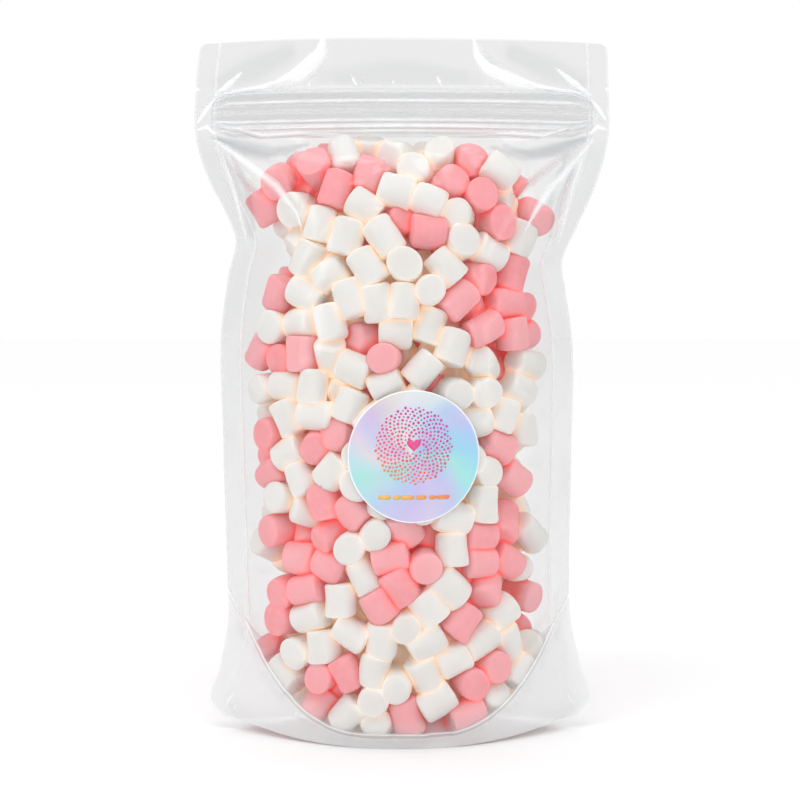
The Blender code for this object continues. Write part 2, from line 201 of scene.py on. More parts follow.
def gusset_floor(x, share=0.0):
    """Height of the base film; share is 0 at the middle plane and 1 at the U seal."""
    run = np.clip(np.abs(x) - RESTING_HALF_LENGTH, 0, None) / (GUSSET_REACH - RESTING_HALF_LENGTH)
    return GUSSET_RISE * run**GUSSET_POWER + GUSSET_SEAL_LOW * np.asarray(share) ** 2


def heap_top(x):
    """Height of the marshmallow heap's top, a dome that slopes a little to the right."""
    shoulder = np.clip(np.abs(x) / HEAP_HALF_WIDTH, 0, 1.1) ** HEAP_SHOULDER_POWER
    return HEAP_TOP - HEAP_TILT * x - HEAP_SHOULDER_DROP * shoulder


def unit(vectors):
    return vectors / np.linalg.norm(vectors, axis=-1, keepdims=True)


def pack_marshmallows(count, generator):
    """Random close packing inside the film: (centres, axes, radii, half lengths).

    Overlapping pieces push each other apart and turn, while they grow to full size and settle.
    """
    radius = generator.uniform(*MARSHMALLOW_RADIUS, count)
    half = generator.uniform(*MARSHMALLOW_HALF_LENGTH, count)
    centres = []
    while len(centres) < count:
        x, y, z = generator.uniform(*START_CORNERS)
        within_film = abs(y) < half_depth(x, z) - START_CLEARANCE
        if within_film and gusset_floor(x) + START_CLEARANCE < z < heap_top(x) - START_CLEARANCE:
            centres.append((x, y, z))
    centres = np.array(centres)
    axes = unit(generator.normal(size=(count, 3)))
    for step in range(PACKING_STEPS):
        progress = step / PACKING_STEPS
        grown = START_GROWTH + (1 - START_GROWTH) * smooth_step(2 * progress)
        centres[:, 1] += SPREAD_STEP * (1 - progress) * np.sign(centres[:, 1])
        centres[:, 2] -= SETTLE_STEP * (1 - progress)
        centres, axes = pushed_apart(centres, axes, radius * grown, half * grown)
    return centres, axes, radius, half


def pushed_apart(centres, axes, radius, half, loose=1.0):
    """Centres and axes after one round of pushes by neighbours and by the film."""
    for pushes in (contact_pushes, film_pushes, film_pushes):
        push, turn = pushes(centres, axes, radius, half)
        centres = centres + push * loose
        axes = unit(axes + np.cross(turn * loose, axes))
    return centres, axes


def top_up(packing, generator):
    """Adds marshmallows where the heap's top has room, and lets the heap there settle round them."""
    centres, axes, radius, half = packing
    added = []
    for x, y, z in generator.uniform(*TOP_CORNERS, (TOP_TRIES, 3)):
        room = half_depth(x, z) - TOP_FROM_FILM - abs(y)
        if room < 0 or z > heap_top(x) - TOP_FROM_FILM:
            continue
        taken = np.concatenate((centres, np.array(added).reshape(-1, 3)))
        if np.linalg.norm(taken - (x, y, z), axis=1).min() > TOP_SPACING:
            added.append((x, y, z))
    count = len(added)
    centres = np.concatenate((centres, added))
    axes = np.concatenate((axes, unit(generator.normal(size=(count, 3)))))
    radius = np.concatenate((radius, generator.uniform(*MARSHMALLOW_RADIUS, count)))
    half = np.concatenate((half, generator.uniform(*MARSHMALLOW_HALF_LENGTH, count)))
    for step in range(TOP_STEPS):
        grown = np.ones(len(centres))
        grown[-count:] = START_GROWTH + (1 - START_GROWTH) * smooth_step(2 * step / TOP_STEPS)
        loose = smooth_step((centres[:, 2:] - TOP_FIXED_BELOW) / TOP_LOOSENS_OVER)
        centres, axes = pushed_apart(centres, axes, radius * grown, half * grown, loose)
    return centres, axes, radius, half


def without_crushed(packing):
    """Leaves out the marshmallows that stayed deep inside another one."""
    centres = packing[0]
    apart = np.linalg.norm(centres[:, None] - centres[None], axis=2)
    kept = np.ones(len(centres), bool)
    for first, second in np.argwhere(apart < CRUSHED_WITHIN):
        if first < second and kept[first]:
            kept[second] = False
    return tuple(values[kept] for values in packing)


def across_axes(axes):
    """Two unit vectors for each axis, square to it and to each other."""
    helper = np.where(np.abs(axes[:, 2:]) < 0.7, (0.0, 0.0, 1.0), (1.0, 0.0, 0.0))
    side = unit(np.cross(axes, helper))
    return side, np.cross(axes, side)


def surface_points(centres, axes, radius, half):
    """Points on each marshmallow: two bevelled rims, a waist and both ends, as (count, points, 3)."""
    side, other = across_axes(axes)
    bevel = MARSHMALLOW_ROUNDING * (1 - math.sqrt(0.5))
    angles = np.arange(RIM_POINTS) * math.tau / RIM_POINTS
    ring = side[:, None] * np.cos(angles)[:, None] + other[:, None] * np.sin(angles)[:, None]
    rim = ring * (radius - bevel)[:, None, None]
    along = axes[:, None] * (half - bevel)[:, None, None]
    ends = axes[:, None] * half[:, None, None] * np.array((1.0, -1.0))[:, None]
    points = np.concatenate((rim + along, rim - along, ring * radius[:, None, None], ends), axis=1)
    return centres[:, None] + points


def depth_inside(points, centre, axis, radius, half):
    """How deep points lie in rounded cylinders, negative outside, and the outward directions there."""
    offset = points - centre
    along = np.einsum("pkc,pc->pk", offset, axis[:, 0])
    radial = offset - along[..., None] * axis
    distance = np.maximum(np.linalg.norm(radial, axis=2), TINY)
    rounding = MARSHMALLOW_ROUNDING
    past_side = distance - (radius - rounding)[:, None]
    past_end = np.abs(along) - (half - rounding)[:, None]
    corner = np.hypot(np.maximum(past_side, 0), np.maximum(past_end, 0))
    depth = rounding - corner - np.minimum(np.maximum(past_side, past_end), 0)
    to_side = radial / distance[..., None]
    to_end = np.sign(along)[..., None] * axis
    blend = np.maximum(past_side, 0)[..., None] * to_side + np.maximum(past_end, 0)[..., None] * to_end
    flat = np.where((past_side > past_end)[..., None], to_side, to_end)
    outward = np.where((corner > TINY)[..., None], blend / np.maximum(corner, TINY)[..., None], flat)
    return depth, outward


def near_pairs(centres, radius, half):
    """Every ordered pair of marshmallows close enough to touch."""
    apart = np.linalg.norm(centres[:, None] - centres[None], axis=2)
    reach = np.hypot(radius, half)
    return np.nonzero((apart < reach[:, None] + reach[None]) & (apart > 0))


def contact_pushes(centres, axes, radius, half):
    """Moves and turns that part overlapping marshmallows, averaged over each one's contacts."""
    first, second = near_pairs(centres, radius, half)
    points = surface_points(centres, axes, radius, half)[second]
    place = centres[first][:, None], axes[first][:, None]
    depth, normal = depth_inside(points, *place, radius[first], half[first])
    return gathered(centres, points, depth > 0, depth, normal, ((second, 0.5), (first, -0.5)))


def film_pushes(centres, axes, radius, half):
    """Moves and turns that bring marshmallows back inside the film, the base and the heap's top."""
    points = surface_points(centres, axes, radius, half)
    x, y, z = np.moveaxis(points, 2, 0)
    step = SLOPE_STEP
    limit = half_depth(x, z) - SEAL_HALF_THICKNESS
    slope_x = (half_depth(x + step, z) - half_depth(x - step, z)) / (2 * step)
    slope_z = (half_depth(x, z + step) - half_depth(x, z - step)) / (2 * step)
    steepness = np.sqrt(1 + slope_x**2 + slope_z**2)
    outward = np.stack((-slope_x, np.sign(y), -slope_z), axis=2) / steepness[..., None]
    up = np.zeros_like(points)
    up[..., 2] = 1
    across = np.zeros_like(points)
    across[..., 0] = np.sign(x)
    own = np.arange(len(centres))
    share = np.clip(np.abs(y) / (limit + MM), 0, 1)
    walls = (
        ((np.abs(y) - limit) / steepness, -outward),
        (gusset_floor(x, share) - z, up),
        (z - heap_top(x), -up),
        (np.abs(x) - (outline(x, z) - SEAL_WIDTH - SIDE_CLEARANCE), -across),
    )
    push, turn = np.zeros_like(centres), np.zeros_like(centres)
    for depth, normal in walls:
        move, spin = gathered(centres, points, depth > 0, depth, normal, ((own, 1.0),))
        push += move
        turn += spin
    return push, turn


def gathered(centres, points, hit, depth, normal, sides):
    """Pushes and turns at the points hit, added up for each side's owners and averaged for each one."""
    count = len(centres)
    push, turn, weight = np.zeros((count, 3)), np.zeros((count, 3)), np.zeros(count)
    rows, _ = np.nonzero(hit)
    for owner, part in sides:
        owners = owner[rows]
        force = normal[hit] * (depth[hit] * part)[:, None]
        lever = points[hit] - centres[owners]
        ease = 1 + (np.cross(lever, normal[hit]) ** 2).sum(axis=1) / TURNING_RADIUS**2
        spin = np.cross(lever, force) / TURNING_RADIUS**2
        for axis in range(3):
            push[:, axis] += np.bincount(owners, force[:, axis] / ease, count)
            turn[:, axis] += np.bincount(owners, spin[:, axis] / ease, count)
        weight += np.bincount(owners, minlength=count)
    share = RESPONSE / np.maximum(weight, 1)[:, None] ** SHARING_POWER
    return push * share, turn * share


# Meshes from arrays


def object_from_arrays(name, points, quads, triangles=()):
    """A smooth-shaded mesh object from a point array, a quad array and an optional triangle array."""
    mesh = bpy.data.meshes.new(name)
    faces = [tuple(face) for face in np.asarray(quads).tolist()]
    faces += [tuple(face) for face in np.asarray(triangles).tolist()]
    mesh.from_pydata(points.tolist(), [], faces)
    mesh.shade_smooth()
    mesh.update()
    made = bpy.data.objects.new(name, mesh)
    bpy.context.scene.collection.objects.link(made)
    return made


def grid_quads(rows, columns, flip=False):
    """Quads of a rows by columns grid of points, counted row by row."""
    corner = (np.arange(rows - 1)[:, None] * columns + np.arange(columns - 1)).ravel()
    quads = np.stack((corner, corner + 1, corner + columns + 1, corner + columns), axis=1)
    return quads[:, ::-1] if flip else quads


def closed_rings(radii, sides):
    """Closed rings of points round the origin, as two (radii, sides + 1) arrays."""
    angles = np.arange(sides + 1) * math.tau / sides
    return np.stack((radii[:, None] * np.cos(angles), radii[:, None] * np.sin(angles)))


def set_attribute(piece, name, values):
    layer = piece.data.attributes.new(name, "FLOAT", "POINT")
    layer.data.foreach_set("value", np.ascontiguousarray(values, dtype=np.float32).ravel())


# Marshmallows


def profile(cap_rings, arc_rings, side_rings):
    """A marshmallow's outline as rows of (radius share, its rounding, height share, its rounding)."""
    end_radius = np.arange(1, cap_rings + 1) / (cap_rings + 1)
    arc = np.linspace(0, math.pi / 2, arc_rings + 1)
    side = np.linspace(1, -1, side_rings + 2)[1:-1]
    radial = [(share, 0.0, 1.0, 1.0) for share in end_radius]
    radial += [(1.0, math.sin(turn), 1.0, math.cos(turn)) for turn in arc]
    middle = [(1.0, 1.0, share, 0.0) for share in side]
    mirrored = [(a, b, -c, -d) for a, b, c, d in radial[::-1]]
    return np.array(radial + middle + mirrored)


def marshmallow_points(chosen, packing, rings, segments, generator):
    """Soft rounded cylinders for the chosen marshmallows, as (count, points, 3)."""
    centres, axes, radius, half = (values[chosen] for values in packing)
    count = len(chosen)
    shape = profile(*rings)
    rounding = MARSHMALLOW_ROUNDING * generator.uniform(*ROUNDING_SHARES, (count, 1))
    ring_radius = shape[:, 0] * (radius[:, None] - rounding) + shape[:, 1] * rounding
    ring_height = shape[:, 2] * (half[:, None] - rounding) + shape[:, 3] * rounding
    level = ring_height / half[:, None]
    ring_height += DOME * np.sign(level) * np.clip(1 - (ring_radius / radius[:, None]) ** 2, 0, 1)
    ring_radius *= 1 + BARREL * (1 - level**2) + generator.uniform(-TAPER, TAPER, (count, 1)) * level
    angles = np.arange(segments) * math.tau / segments
    oval = generator.uniform(0, OVAL, (count, 1, 1))
    phase = generator.uniform(0, math.tau, (count, 1, 1))
    girth = ring_radius[..., None] * (1 + oval * np.cos(2 * angles + phase))
    bend = generator.uniform(-BEND, BEND, (count, 2))[:, None, None] * (level**2)[..., None, None]
    flat = np.stack((girth * np.cos(angles), girth * np.sin(angles)), axis=3) + bend
    upright = np.broadcast_to(ring_height[..., None, None], (*girth.shape, 1))
    local = np.concatenate((flat, upright), axis=3).reshape(count, -1, 3)
    poles = np.zeros((count, 2, 3))
    poles[:, :, 2] = (half + DOME)[:, None] * (1, -1)
    poles[:, :, :2] = bend[:, 0]
    local = np.concatenate((local, poles), axis=1)
    local += soft_lumps(local, count, generator)
    side, other = across_axes(axes)
    turned = np.stack((side, other, axes), axis=1)
    return centres[:, None] + np.einsum("pkc,pcd->pkd", local, turned)


def soft_lumps(local, count, generator):
    """Low uneven swells, different on each marshmallow."""
    swell = np.zeros(local.shape[:2])
    for wave in LUMP_WAVES:
        direction = unit(generator.normal(size=(count, 3))) * wave / LUMP_LENGTH
        phase = generator.uniform(0, math.tau, (count, 1))
        swell += np.sin(np.einsum("pkc,pc->pk", local, direction) + phase) / wave
    return unit(local + TINY) * (LUMP * swell)[..., None]


def eased(shift, segments):
    """Dents spread over the points next to them, so that their rims are soft."""
    grid = shift[:, :-2].reshape(len(shift), -1, segments, 3)
    for _ in range(EASING_ROUNDS):
        ends = np.concatenate((grid[:, :1], grid, grid[:, -1:]), axis=1)
        along = ends[:, :-2] + ends[:, 2:]
        around = np.roll(grid, 1, axis=2) + np.roll(grid, -1, axis=2)
        grid = grid / 2 + (along + around) / 8
    return np.concatenate((grid.reshape(len(shift), -1, 3), shift[:, -2:]), axis=1)


def press_together(points, chosen, packing, segments):
    """Flattens the places where neighbours press on each other, each by half of the overlap."""
    centres, axes, radius, half = packing
    first, second = near_pairs(centres, radius, half)
    row_of = np.full(len(centres), -1)
    row_of[chosen] = np.arange(len(chosen))
    mine = row_of[second] >= 0
    first, second = first[mine], second[mine]
    painted_crevice = np.zeros(points.shape[:2])
    free = points.copy()
    for other, owner in zip(first, second):
        row = row_of[owner]
        own = points[row][None]
        place = centres[other][None, None], axes[other][None, None]
        depth, outward = depth_inside(own, *place, radius[other : other + 1], half[other : other + 1])
        push = np.clip(depth / 2 + CONTACT_GAP, 0, DEEPEST_PRESS)
        points[row] += (outward * push[..., None])[0]
        # Painted shade: how strongly the warm crevice tint and glow are painted here, 1 where the
        # pieces touch
        painted_crevice[row] = np.maximum(painted_crevice[row], smooth_step(1 + depth[0] / PAINTED_CREVICE_WIDTH))
    return free + eased(points - free, segments), painted_crevice


def hold_in_film(points):
    """Flattens what would pass through the film, the base or the table."""
    x, y, z = np.moveaxis(points, 2, 0)
    limit = np.maximum(half_depth(x, z) - FILM_CLEARANCE, 0)
    y = np.clip(y, -limit, limit)
    share = np.clip(np.abs(y) / (limit + MM), 0, 1)
    z = np.maximum(z, gusset_floor(x, share) + FILM_CLEARANCE)
    return np.stack((x, y, z), axis=2)


def marshmallow_faces(count, rings, segments):
    """Quads of the sides and triangles of the end fans, for count marshmallows in a row."""
    ring_count = len(profile(*rings))
    size = ring_count * segments + 2
    ring = np.arange(segments)
    after = (ring + 1) % segments
    row = np.arange(ring_count - 1)[:, None] * segments
    quads = np.stack((row + ring, row + ring + segments, row + after + segments, row + after), axis=2)
    top = np.stack((np.full(segments, size - 2), ring, after), axis=1)
    last = (ring_count - 1) * segments
    bottom = np.stack((np.full(segments, size - 1), last + after, last + ring), axis=1)
    start = (np.arange(count) * size)[:, None, None]
    quads = (quads.reshape(-1, 4)[None] + start).reshape(-1, 4)
    fans = (np.concatenate((top, bottom))[None] + start).reshape(-1, 3)
    return quads, fans


def build_marshmallows(packing, generator):
    """The white and the pink marshmallows, fine where they show and coarser inside the heap."""
    centres, axes, radius, half = packing
    x, y, z = np.moveaxis(surface_points(*packing), 2, 0)
    gap = (half_depth(x, z) - np.abs(y)).min(axis=1)
    top_gap = (heap_top(x) - z).min(axis=1)
    base_gap = (z - gusset_floor(x)).min(axis=1)
    side_gap = (outline(x, z) - SEAL_WIDTH - np.abs(x)).min(axis=1)
    seen = np.minimum.reduce((gap, top_gap, base_gap, side_gap)) < SEEN_WITHIN
    is_pink = pink_ones(centres, generator)
    tone = generator.uniform(0, 1, len(centres))
    pieces = {}
    clouds = []
    for name, wanted in (("marshmallows_white", ~is_pink), ("marshmallows_pink", is_pink)):
        points, quads, fans, tones, painted_crevices, start = [], [], [], [], [], 0
        for shown, rings, segments in (
            (seen, FINE_RINGS, FINE_SEGMENTS),
            (~seen, COARSE_RINGS, COARSE_SEGMENTS),
        ):
            chosen = np.nonzero(wanted & shown)[0]
            made = marshmallow_points(chosen, packing, rings, segments, generator)
            made, painted_crevice = press_together(made, chosen, packing, segments)
            made = hold_in_film(made)
            # Painted shade: the crevice tint fades near the film and is painted fully on pieces deep
            # below it
            below = half_depth(made[..., 0], made[..., 2]) - np.abs(made[..., 1])
            shallow = smooth_step(below / PAINTED_CREVICE_DEPTH)
            painted_crevice *= PAINTED_CREVICE_AT_FILM + (1 - PAINTED_CREVICE_AT_FILM) * shallow
            deep = smooth_step((below - PAINTED_DEEP_FROM) / PAINTED_DEEP_OVER)
            painted_crevices.append(np.maximum(painted_crevice, deep).ravel())
            some_quads, some_fans = marshmallow_faces(len(chosen), rings, segments)
            quads.append(some_quads + start)
            fans.append(some_fans + start)
            points.append(made.reshape(-1, 3))
            tones.append(np.repeat(tone[chosen], made.shape[1]))
            start += len(points[-1])
        cloud = np.concatenate(points)
        piece = object_from_arrays(name, cloud, np.concatenate(quads), np.concatenate(fans))
        set_attribute(piece, "tone", np.concatenate(tones))
        set_attribute(piece, "painted_crevice", np.concatenate(painted_crevices))
        pieces[name] = piece
        clouds.append(cloud)
    return pieces, np.concatenate(clouds)


def pink_ones(centres, generator):
    """Which marshmallows are pink: the patches on the front, and a random share elsewhere."""
    x, y, z = centres.T
    random_pink = generator.random(len(centres)) < PINK_SHARE
    in_patch = np.zeros(len(centres), bool)
    for across, height, reach in PINK_PATCHES:
        in_patch |= np.hypot(x - across * MM, z - height * MM) < reach * MM
    return np.where(y < FRONT_BELOW_Y, in_patch, random_pink)


# Film


def blurred(values, width):
    """A grid smoothed by a bell curve of that many cells, first down and then across."""
    reach = 3 * width
    weights = np.exp(-0.5 * (np.arange(-reach, reach + 1) / width) ** 2)
    weights /= weights.sum()
    for _ in range(2):
        padded = np.pad(values, ((reach, reach), (0, 0)), mode="edge")
        values = sum(w * padded[i : i + len(values)] for i, w in enumerate(weights)).T
    return values


def sag_field(cloud, side):
    """How far the film lies inside its smooth envelope, on a grid: it follows what presses on it."""
    low = np.array(SAG_CORNER)
    cells = SAG_CELLS
    facing = cloud[:, 1] * side > 0
    column, row = ((cloud[facing][:, (0, 2)] - low) / SAG_CELL).round().astype(int).T
    reach = np.full(cells, -1.0)
    np.maximum.at(reach, (row, column), np.abs(cloud[facing][:, 1]))
    for _ in range(2):
        wide = np.pad(reach, 1, mode="edge")
        near = [wide[a : a + cells[0], b : b + cells[1]] for a in range(3) for b in range(3)]
        reach = np.maximum.reduce(near)
    z, x = np.meshgrid(np.arange(cells[0]), np.arange(cells[1]), indexing="ij")
    x, z = x * SAG_CELL + low[0], z * SAG_CELL + low[1]
    envelope = half_depth(x, z)
    gap = np.clip(envelope - np.maximum(reach, 0), 0, SAG_GAP_LIMIT)
    sag = np.minimum(blurred(gap, SAG_BLUR) * SAG_SHARE, SAG_DEEPEST)
    sag = np.minimum(sag, np.maximum(envelope - reach - TOUCH_GAP, 0))
    sag *= smooth_step((envelope - 3 * MM) / (8 * MM))

    def sag_at(at_x, at_z):
        column = np.clip((at_x - low[0]) / SAG_CELL, 0, cells[1] - 1.001)
        row = np.clip((at_z - low[1]) / SAG_CELL, 0, cells[0] - 1.001)
        left, below = column.astype(int), row.astype(int)
        a, b = column - left, row - below
        lower = sag[below, left] * (1 - a) + sag[below, left + 1] * a
        upper = sag[below + 1, left] * (1 - a) + sag[below + 1, left + 1] * a
        return lower * (1 - b) + upper * b

    return sag_at


# Value of a fold, seal or line field where there is none near
FAR_OFF = -9.0


def streak(x, z, stations):
    """1 on a streak's middle line and 0 at its edge; stations are (across, height, half width), mm."""
    best = np.full(x.shape, FAR_OFF)
    for start, end in zip(stations, stations[1:]):
        (x0, z0, w0), (x1, z1, w1) = np.array(start) * MM, np.array(end) * MM
        run_x, run_z = x1 - x0, z1 - z0
        t = np.clip(((x - x0) * run_x + (z - z0) * run_z) / (run_x**2 + run_z**2), 0, 1)
        away = np.hypot(x - x0 - t * run_x, z - z0 - t * run_z)
        best = np.maximum(best, 1 - away / (w0 + t * (w1 - w0)))
    return best


# Painted highlights on the film's folds, over real raised ridges, as (height of the ridge in mm,
# sharpness, stations)
PAINTED_FOLD_HIGHLIGHTS = (
    (0.6, "sharp", (
        (-30, 273.5, 1.6), (-31.2, 268.5, 3.0), (-35.3, 264, 4.3), (-40.5, 260, 3.8), (-48, 257, 2.0),
    )),
    (0.7, "sharp", ((-44, 258.2, 1.6), (-54, 255.8, 1.3), (-63, 254.6, 0.8), (-72.5, 253.4, 0.3))),
    (0.6, "sharp", (
        (28.6, 273.5, 0.9), (30, 267, 2.0), (34.1, 262.3, 3.0), (42.3, 258.8, 3.4), (51.6, 256, 1.9),
    )),
    (0.7, "sharp", ((50, 256.6, 1.4), (60, 254.9, 1.0), (70.3, 253.9, 0.6), (75, 253.4, 0.3))),
    (0.6, "sharp", ((-72.7, 253.6, 0.5), (-67.5, 257, 1.8), (-62.3, 261.6, 0.6))),
    (0.6, "sharp", ((74.2, 253.2, 0.5), (67.5, 257.8, 2.0), (60.7, 263.2, 0.6))),
    (0.2, "sharp", ((-35.5, 257.6, 0.2), (-35.6, 256, 0.8))),
    (0.3, "sharp", ((-19.6, 260.2, 0.2), (-18.2, 257.6, 0.9), (-17.2, 256, 0.5))),
    (0.2, "sharp", ((-3, 258.8, 0.2), (-2.9, 257, 0.7), (-2.8, 256, 0.4))),
    (0.3, "sharp", ((14, 260, 0.2), (15, 257.6, 0.9), (15.8, 256, 0.5))),
    (0.8, "soft", (
        (-72.7, 235.5, 0.8), (-60, 226, 2.6), (-48, 216.5, 3.0), (-40, 206, 1.6), (-37.5, 199, 0.5),
    )),
    (0.7, "soft", ((-66, 240, 0.4), (-54, 236.8, 1.3), (-40, 237.2, 1.0), (-22, 236.4, 0.4))),
    (0.8, "soft", (
        (75.2, 235.5, 0.8), (66, 224, 2.2), (59, 216.5, 3.0), (53, 208, 2.0), (48, 199, 0.5),
    )),
    (0.7, "soft", ((73, 232.5, 0.5), (68, 218, 1.5), (65, 206, 1.2), (62, 194, 0.5))),
    (0.7, "soft", ((-70, 231, 0.5), (-66, 218, 1.5), (-63, 206, 1.2), (-60, 194, 0.5))),
    (0.5, "soft", ((66, 240, 0.4), (56, 236.8, 1.2), (42, 237.2, 1.0), (30, 236.6, 0.4))),
    (0.3, "sharp", ((-72.5, 252, 0.5), (-76, 248, 1.3), (-79.4, 243, 0.7))),
    (0.3, "sharp", ((-72.5, 238, 0.5), (-76, 241, 1.2), (-79.4, 240, 0.6))),
    (0.3, "sharp", ((74, 252, 0.5), (77.5, 248, 1.2), (80.4, 244, 0.7))),
    (0.3, "sharp", ((74, 238, 0.5), (77, 241, 1.2), (80.2, 240, 0.6))),
    (0.5, "sharp", ((-71.5, 3, 0.3), (-69, 8, 0.9), (-66, 13, 0.3))),
    (0.4, "sharp", ((-70, 1, 0.3), (-66.5, 5.5, 0.7), (-64.5, 10, 0.2))),
    (0.5, "sharp", ((71, 3, 0.3), (68.5, 8, 0.9), (66, 13, 0.3))),
    (0.4, "sharp", ((69.5, 1, 0.3), (66, 5.5, 0.7), (64, 10, 0.2))),
    (0.3, "sharp", ((-41.5, 9.5, 0.2), (-40.5, 12, 1.0), (-39.5, 10.5, 0.3))),
)
SHARPNESS = {"sharp": 0.8, "soft": 0.4}
# Painted shade: slight grey in the film's tint beside the heap and in the side seals, and on the base
# film
EDGE_PAINTED_SHADE = 0.13
EDGE_PAINTED_SHADE_INSIDE_SEAL = 14 * MM
BASE_FILM_PAINTED_SHADE = 0.1
# Hollows beside the folds, with painted shade greying the film's tint, as (darkness, stations)
PAINTED_SHADE_STREAKS = (
    (0.9, ((-72.3, 236.5, 1.0), (-60, 232, 4.0), (-49.6, 229.8, 3.2), (-36, 232.5, 0.8))),
    (0.6, ((74, 237, 1.0), (63, 231.5, 3.6), (52, 229, 2.6), (40, 232, 0.8))),
    (0.22, ((-70, 258, 4.0), (-58, 262, 7.0), (-44, 270, 5.0))),
    (0.22, ((44, 268, 5.0), (58, 264, 7.0), (72, 259, 4.0))),
    (0.18, ((-30, 259, 4.0), (-4, 261, 8.0), (24, 259, 4.0))),
    (0.7, ((-66, 230, 1.2), (-60, 216, 2.2), (-57.5, 200, 1.2))),
    (0.7, ((69, 228, 1.2), (62.5, 212, 2.2), (58.5, 197, 1.2))),
)


USUAL_HALF_WIDTH = 75 * MM
ZIP_ROWS = (234 * MM, 258 * MM)
CORNER_ROWS = (0.8, 0.55, 0.32, 0.14, 0.05)


def film_columns(count, seal_columns):
    """Shares across the pouch, from -1 to 1, with closer columns in both side seals."""
    seal = SEAL_WIDTH / USUAL_HALF_WIDTH
    inner = np.linspace(-1 + seal, 1 - seal, count)
    left = np.linspace(-1, -1 + seal, seal_columns + 1)[:-1]
    return np.concatenate((left, inner, -left[::-1]))


def film_rows(body_step, zip_step):
    """Heights of the film's rows, closer at the zip."""
    zip_low, zip_high = ZIP_ROWS
    body = np.arange(0, zip_low, body_step)
    zip_rows = np.arange(zip_low, zip_high, zip_step)
    top = np.append(np.arange(zip_high, POUCH_HEIGHT - TOP_CORNER_RADIUS, body_step), POUCH_HEIGHT)
    corner = POUCH_HEIGHT - TOP_CORNER_RADIUS * np.array(CORNER_ROWS)
    return np.sort(np.concatenate((body, zip_rows, top, corner)))


def edge_at(side_x, z):
    """The outer edge with its rounded top corners and tear notches."""
    edge = outline(side_x, z)
    corner = np.clip((z - POUCH_HEIGHT + TOP_CORNER_RADIUS) / TOP_CORNER_RADIUS, 0, 1)
    edge = edge - TOP_CORNER_RADIUS * (1 - np.sqrt(1 - corner**2))
    notch = np.clip(1 - np.abs(z - NOTCH_HEIGHT) / NOTCH_HALF_WIDTH, 0, 1)
    return edge - NOTCH_DEPTH * notch


def raised(x, z):
    """The height at which film at nominal height z lies: the top and base edges bow."""
    share = np.abs(x) / outline(x, z)
    rise = z / POUCH_HEIGHT
    return z + BASE_CORNER_LIFT * share**3 * (1 - rise) - TOP_CORNER_DROP * share**2 * rise


def sway(x, z):
    """Slow waves that the front and the back film share, in the top band and the side seals."""
    top = smooth_step((z - 238 * MM) / (14 * MM))
    wave = 0.8 * np.sin(x / (14 * MM) + 0.7) + 0.6 * np.sin(x / (31 * MM) - z / (11 * MM))
    seal = smooth_step((np.abs(x) - outline(x, z) + SEAL_WIDTH) / (5 * MM))
    ripple = 0.45 * np.sin(z / (8.5 * MM) + np.sign(x)) + 0.3 * np.sin(z / (19 * MM) + 2)
    return MM * (0.8 * top * wave + seal * ripple * (1 - top))


FOLD_IN_SEAL = 0.3
HOLLOW_DEPTH = 0.5 * MM
U_RIDGE_HEIGHT = 0.35 * MM
U_RIDGE_HALF_WIDTH = 1.1 * MM
LEAST_HALF_GAP = 0.1 * MM


def sheet_points(x, z, side, sag):
    """Points of the front (side -1) or back (side 1) film, and fields on them for painted highlight and
    shade.
    """
    into_seal = np.abs(x) - outline(x, z) + SEAL_WIDTH
    share = np.clip(np.abs(x) / (outline(x, z) - SEAL_WIDTH), 0, 1)
    belly = through(BELLY, z) * (1 - share**2) ** BELLY_ROUNDNESS
    depth = FILM_HALF_GAP + (SEAL_HALF_THICKNESS - FILM_HALF_GAP) * (1 - smooth_step(into_seal / MM))
    depth = depth + belly - sag
    inside = 1 - smooth_step((into_seal + MM) / MM)
    for rib, height in ZIP_RIBS:
        bell = np.exp(-(((z - rib * MM) / (0.6 * RIB_HALF_WIDTH)) ** 2))
        depth += height * MM * bell * inside
    mirrored = x * -side
    # Painted highlight: milky white for the film's material where the folds would shine
    fold_highlight_field = np.full(x.shape, FAR_OFF)
    for height, edge, stations in PAINTED_FOLD_HIGHLIGHTS:
        field = streak(mirrored, z, stations)
        depth += height * MM * smooth_step(field) * (FOLD_IN_SEAL + (1 - FOLD_IN_SEAL) * inside)
        fold_highlight_field = np.maximum(fold_highlight_field, SHARPNESS[edge] * field)
    # Painted shade: grey that darkens the film's tint in the hollows beside the folds and near the
    # edges
    grey = np.zeros(x.shape)
    for darkness, stations in PAINTED_SHADE_STREAKS:
        field = streak(mirrored, z, stations)
        depth -= HOLLOW_DEPTH * darkness * smooth_step(field) * inside
        grey = np.maximum(grey, darkness * smooth_step(field * 1.4))
    at_edge = smooth_step((into_seal + EDGE_PAINTED_SHADE_INSIDE_SEAL) / SEAL_WIDTH)
    below_zip = smooth_step((240 * MM - z) / (10 * MM))
    grey = np.maximum(grey, EDGE_PAINTED_SHADE * at_edge * below_zip)
    below_u = u_seal_distance(x, z)
    depth += U_RIDGE_HEIGHT * np.exp(-((below_u / U_RIDGE_HALF_WIDTH) ** 2))
    depth += fine_wrinkles(x, z, side) * smooth_step((belly - 2 * MM) / (6 * MM))
    y = side * np.maximum(depth, LEAST_HALF_GAP) + sway(x, z)
    fields = {"fold_highlight_field": fold_highlight_field, "grey": grey, "below_u": below_u / MM, "into_seal": into_seal / MM}
    return np.stack((x, y, raised(x, z)), axis=-1), fields


def u_seal_distance(x, z):
    """Distance below the base film's U seal, measured square to it."""
    step = SLOPE_STEP
    slope = (gusset_floor(x + step, 1.0) - gusset_floor(x - step, 1.0)) / (2 * step)
    return (gusset_floor(x, 1.0) - z) / np.sqrt(1 + slope**2)


WRINKLE_HEIGHT = 0.06 * MM


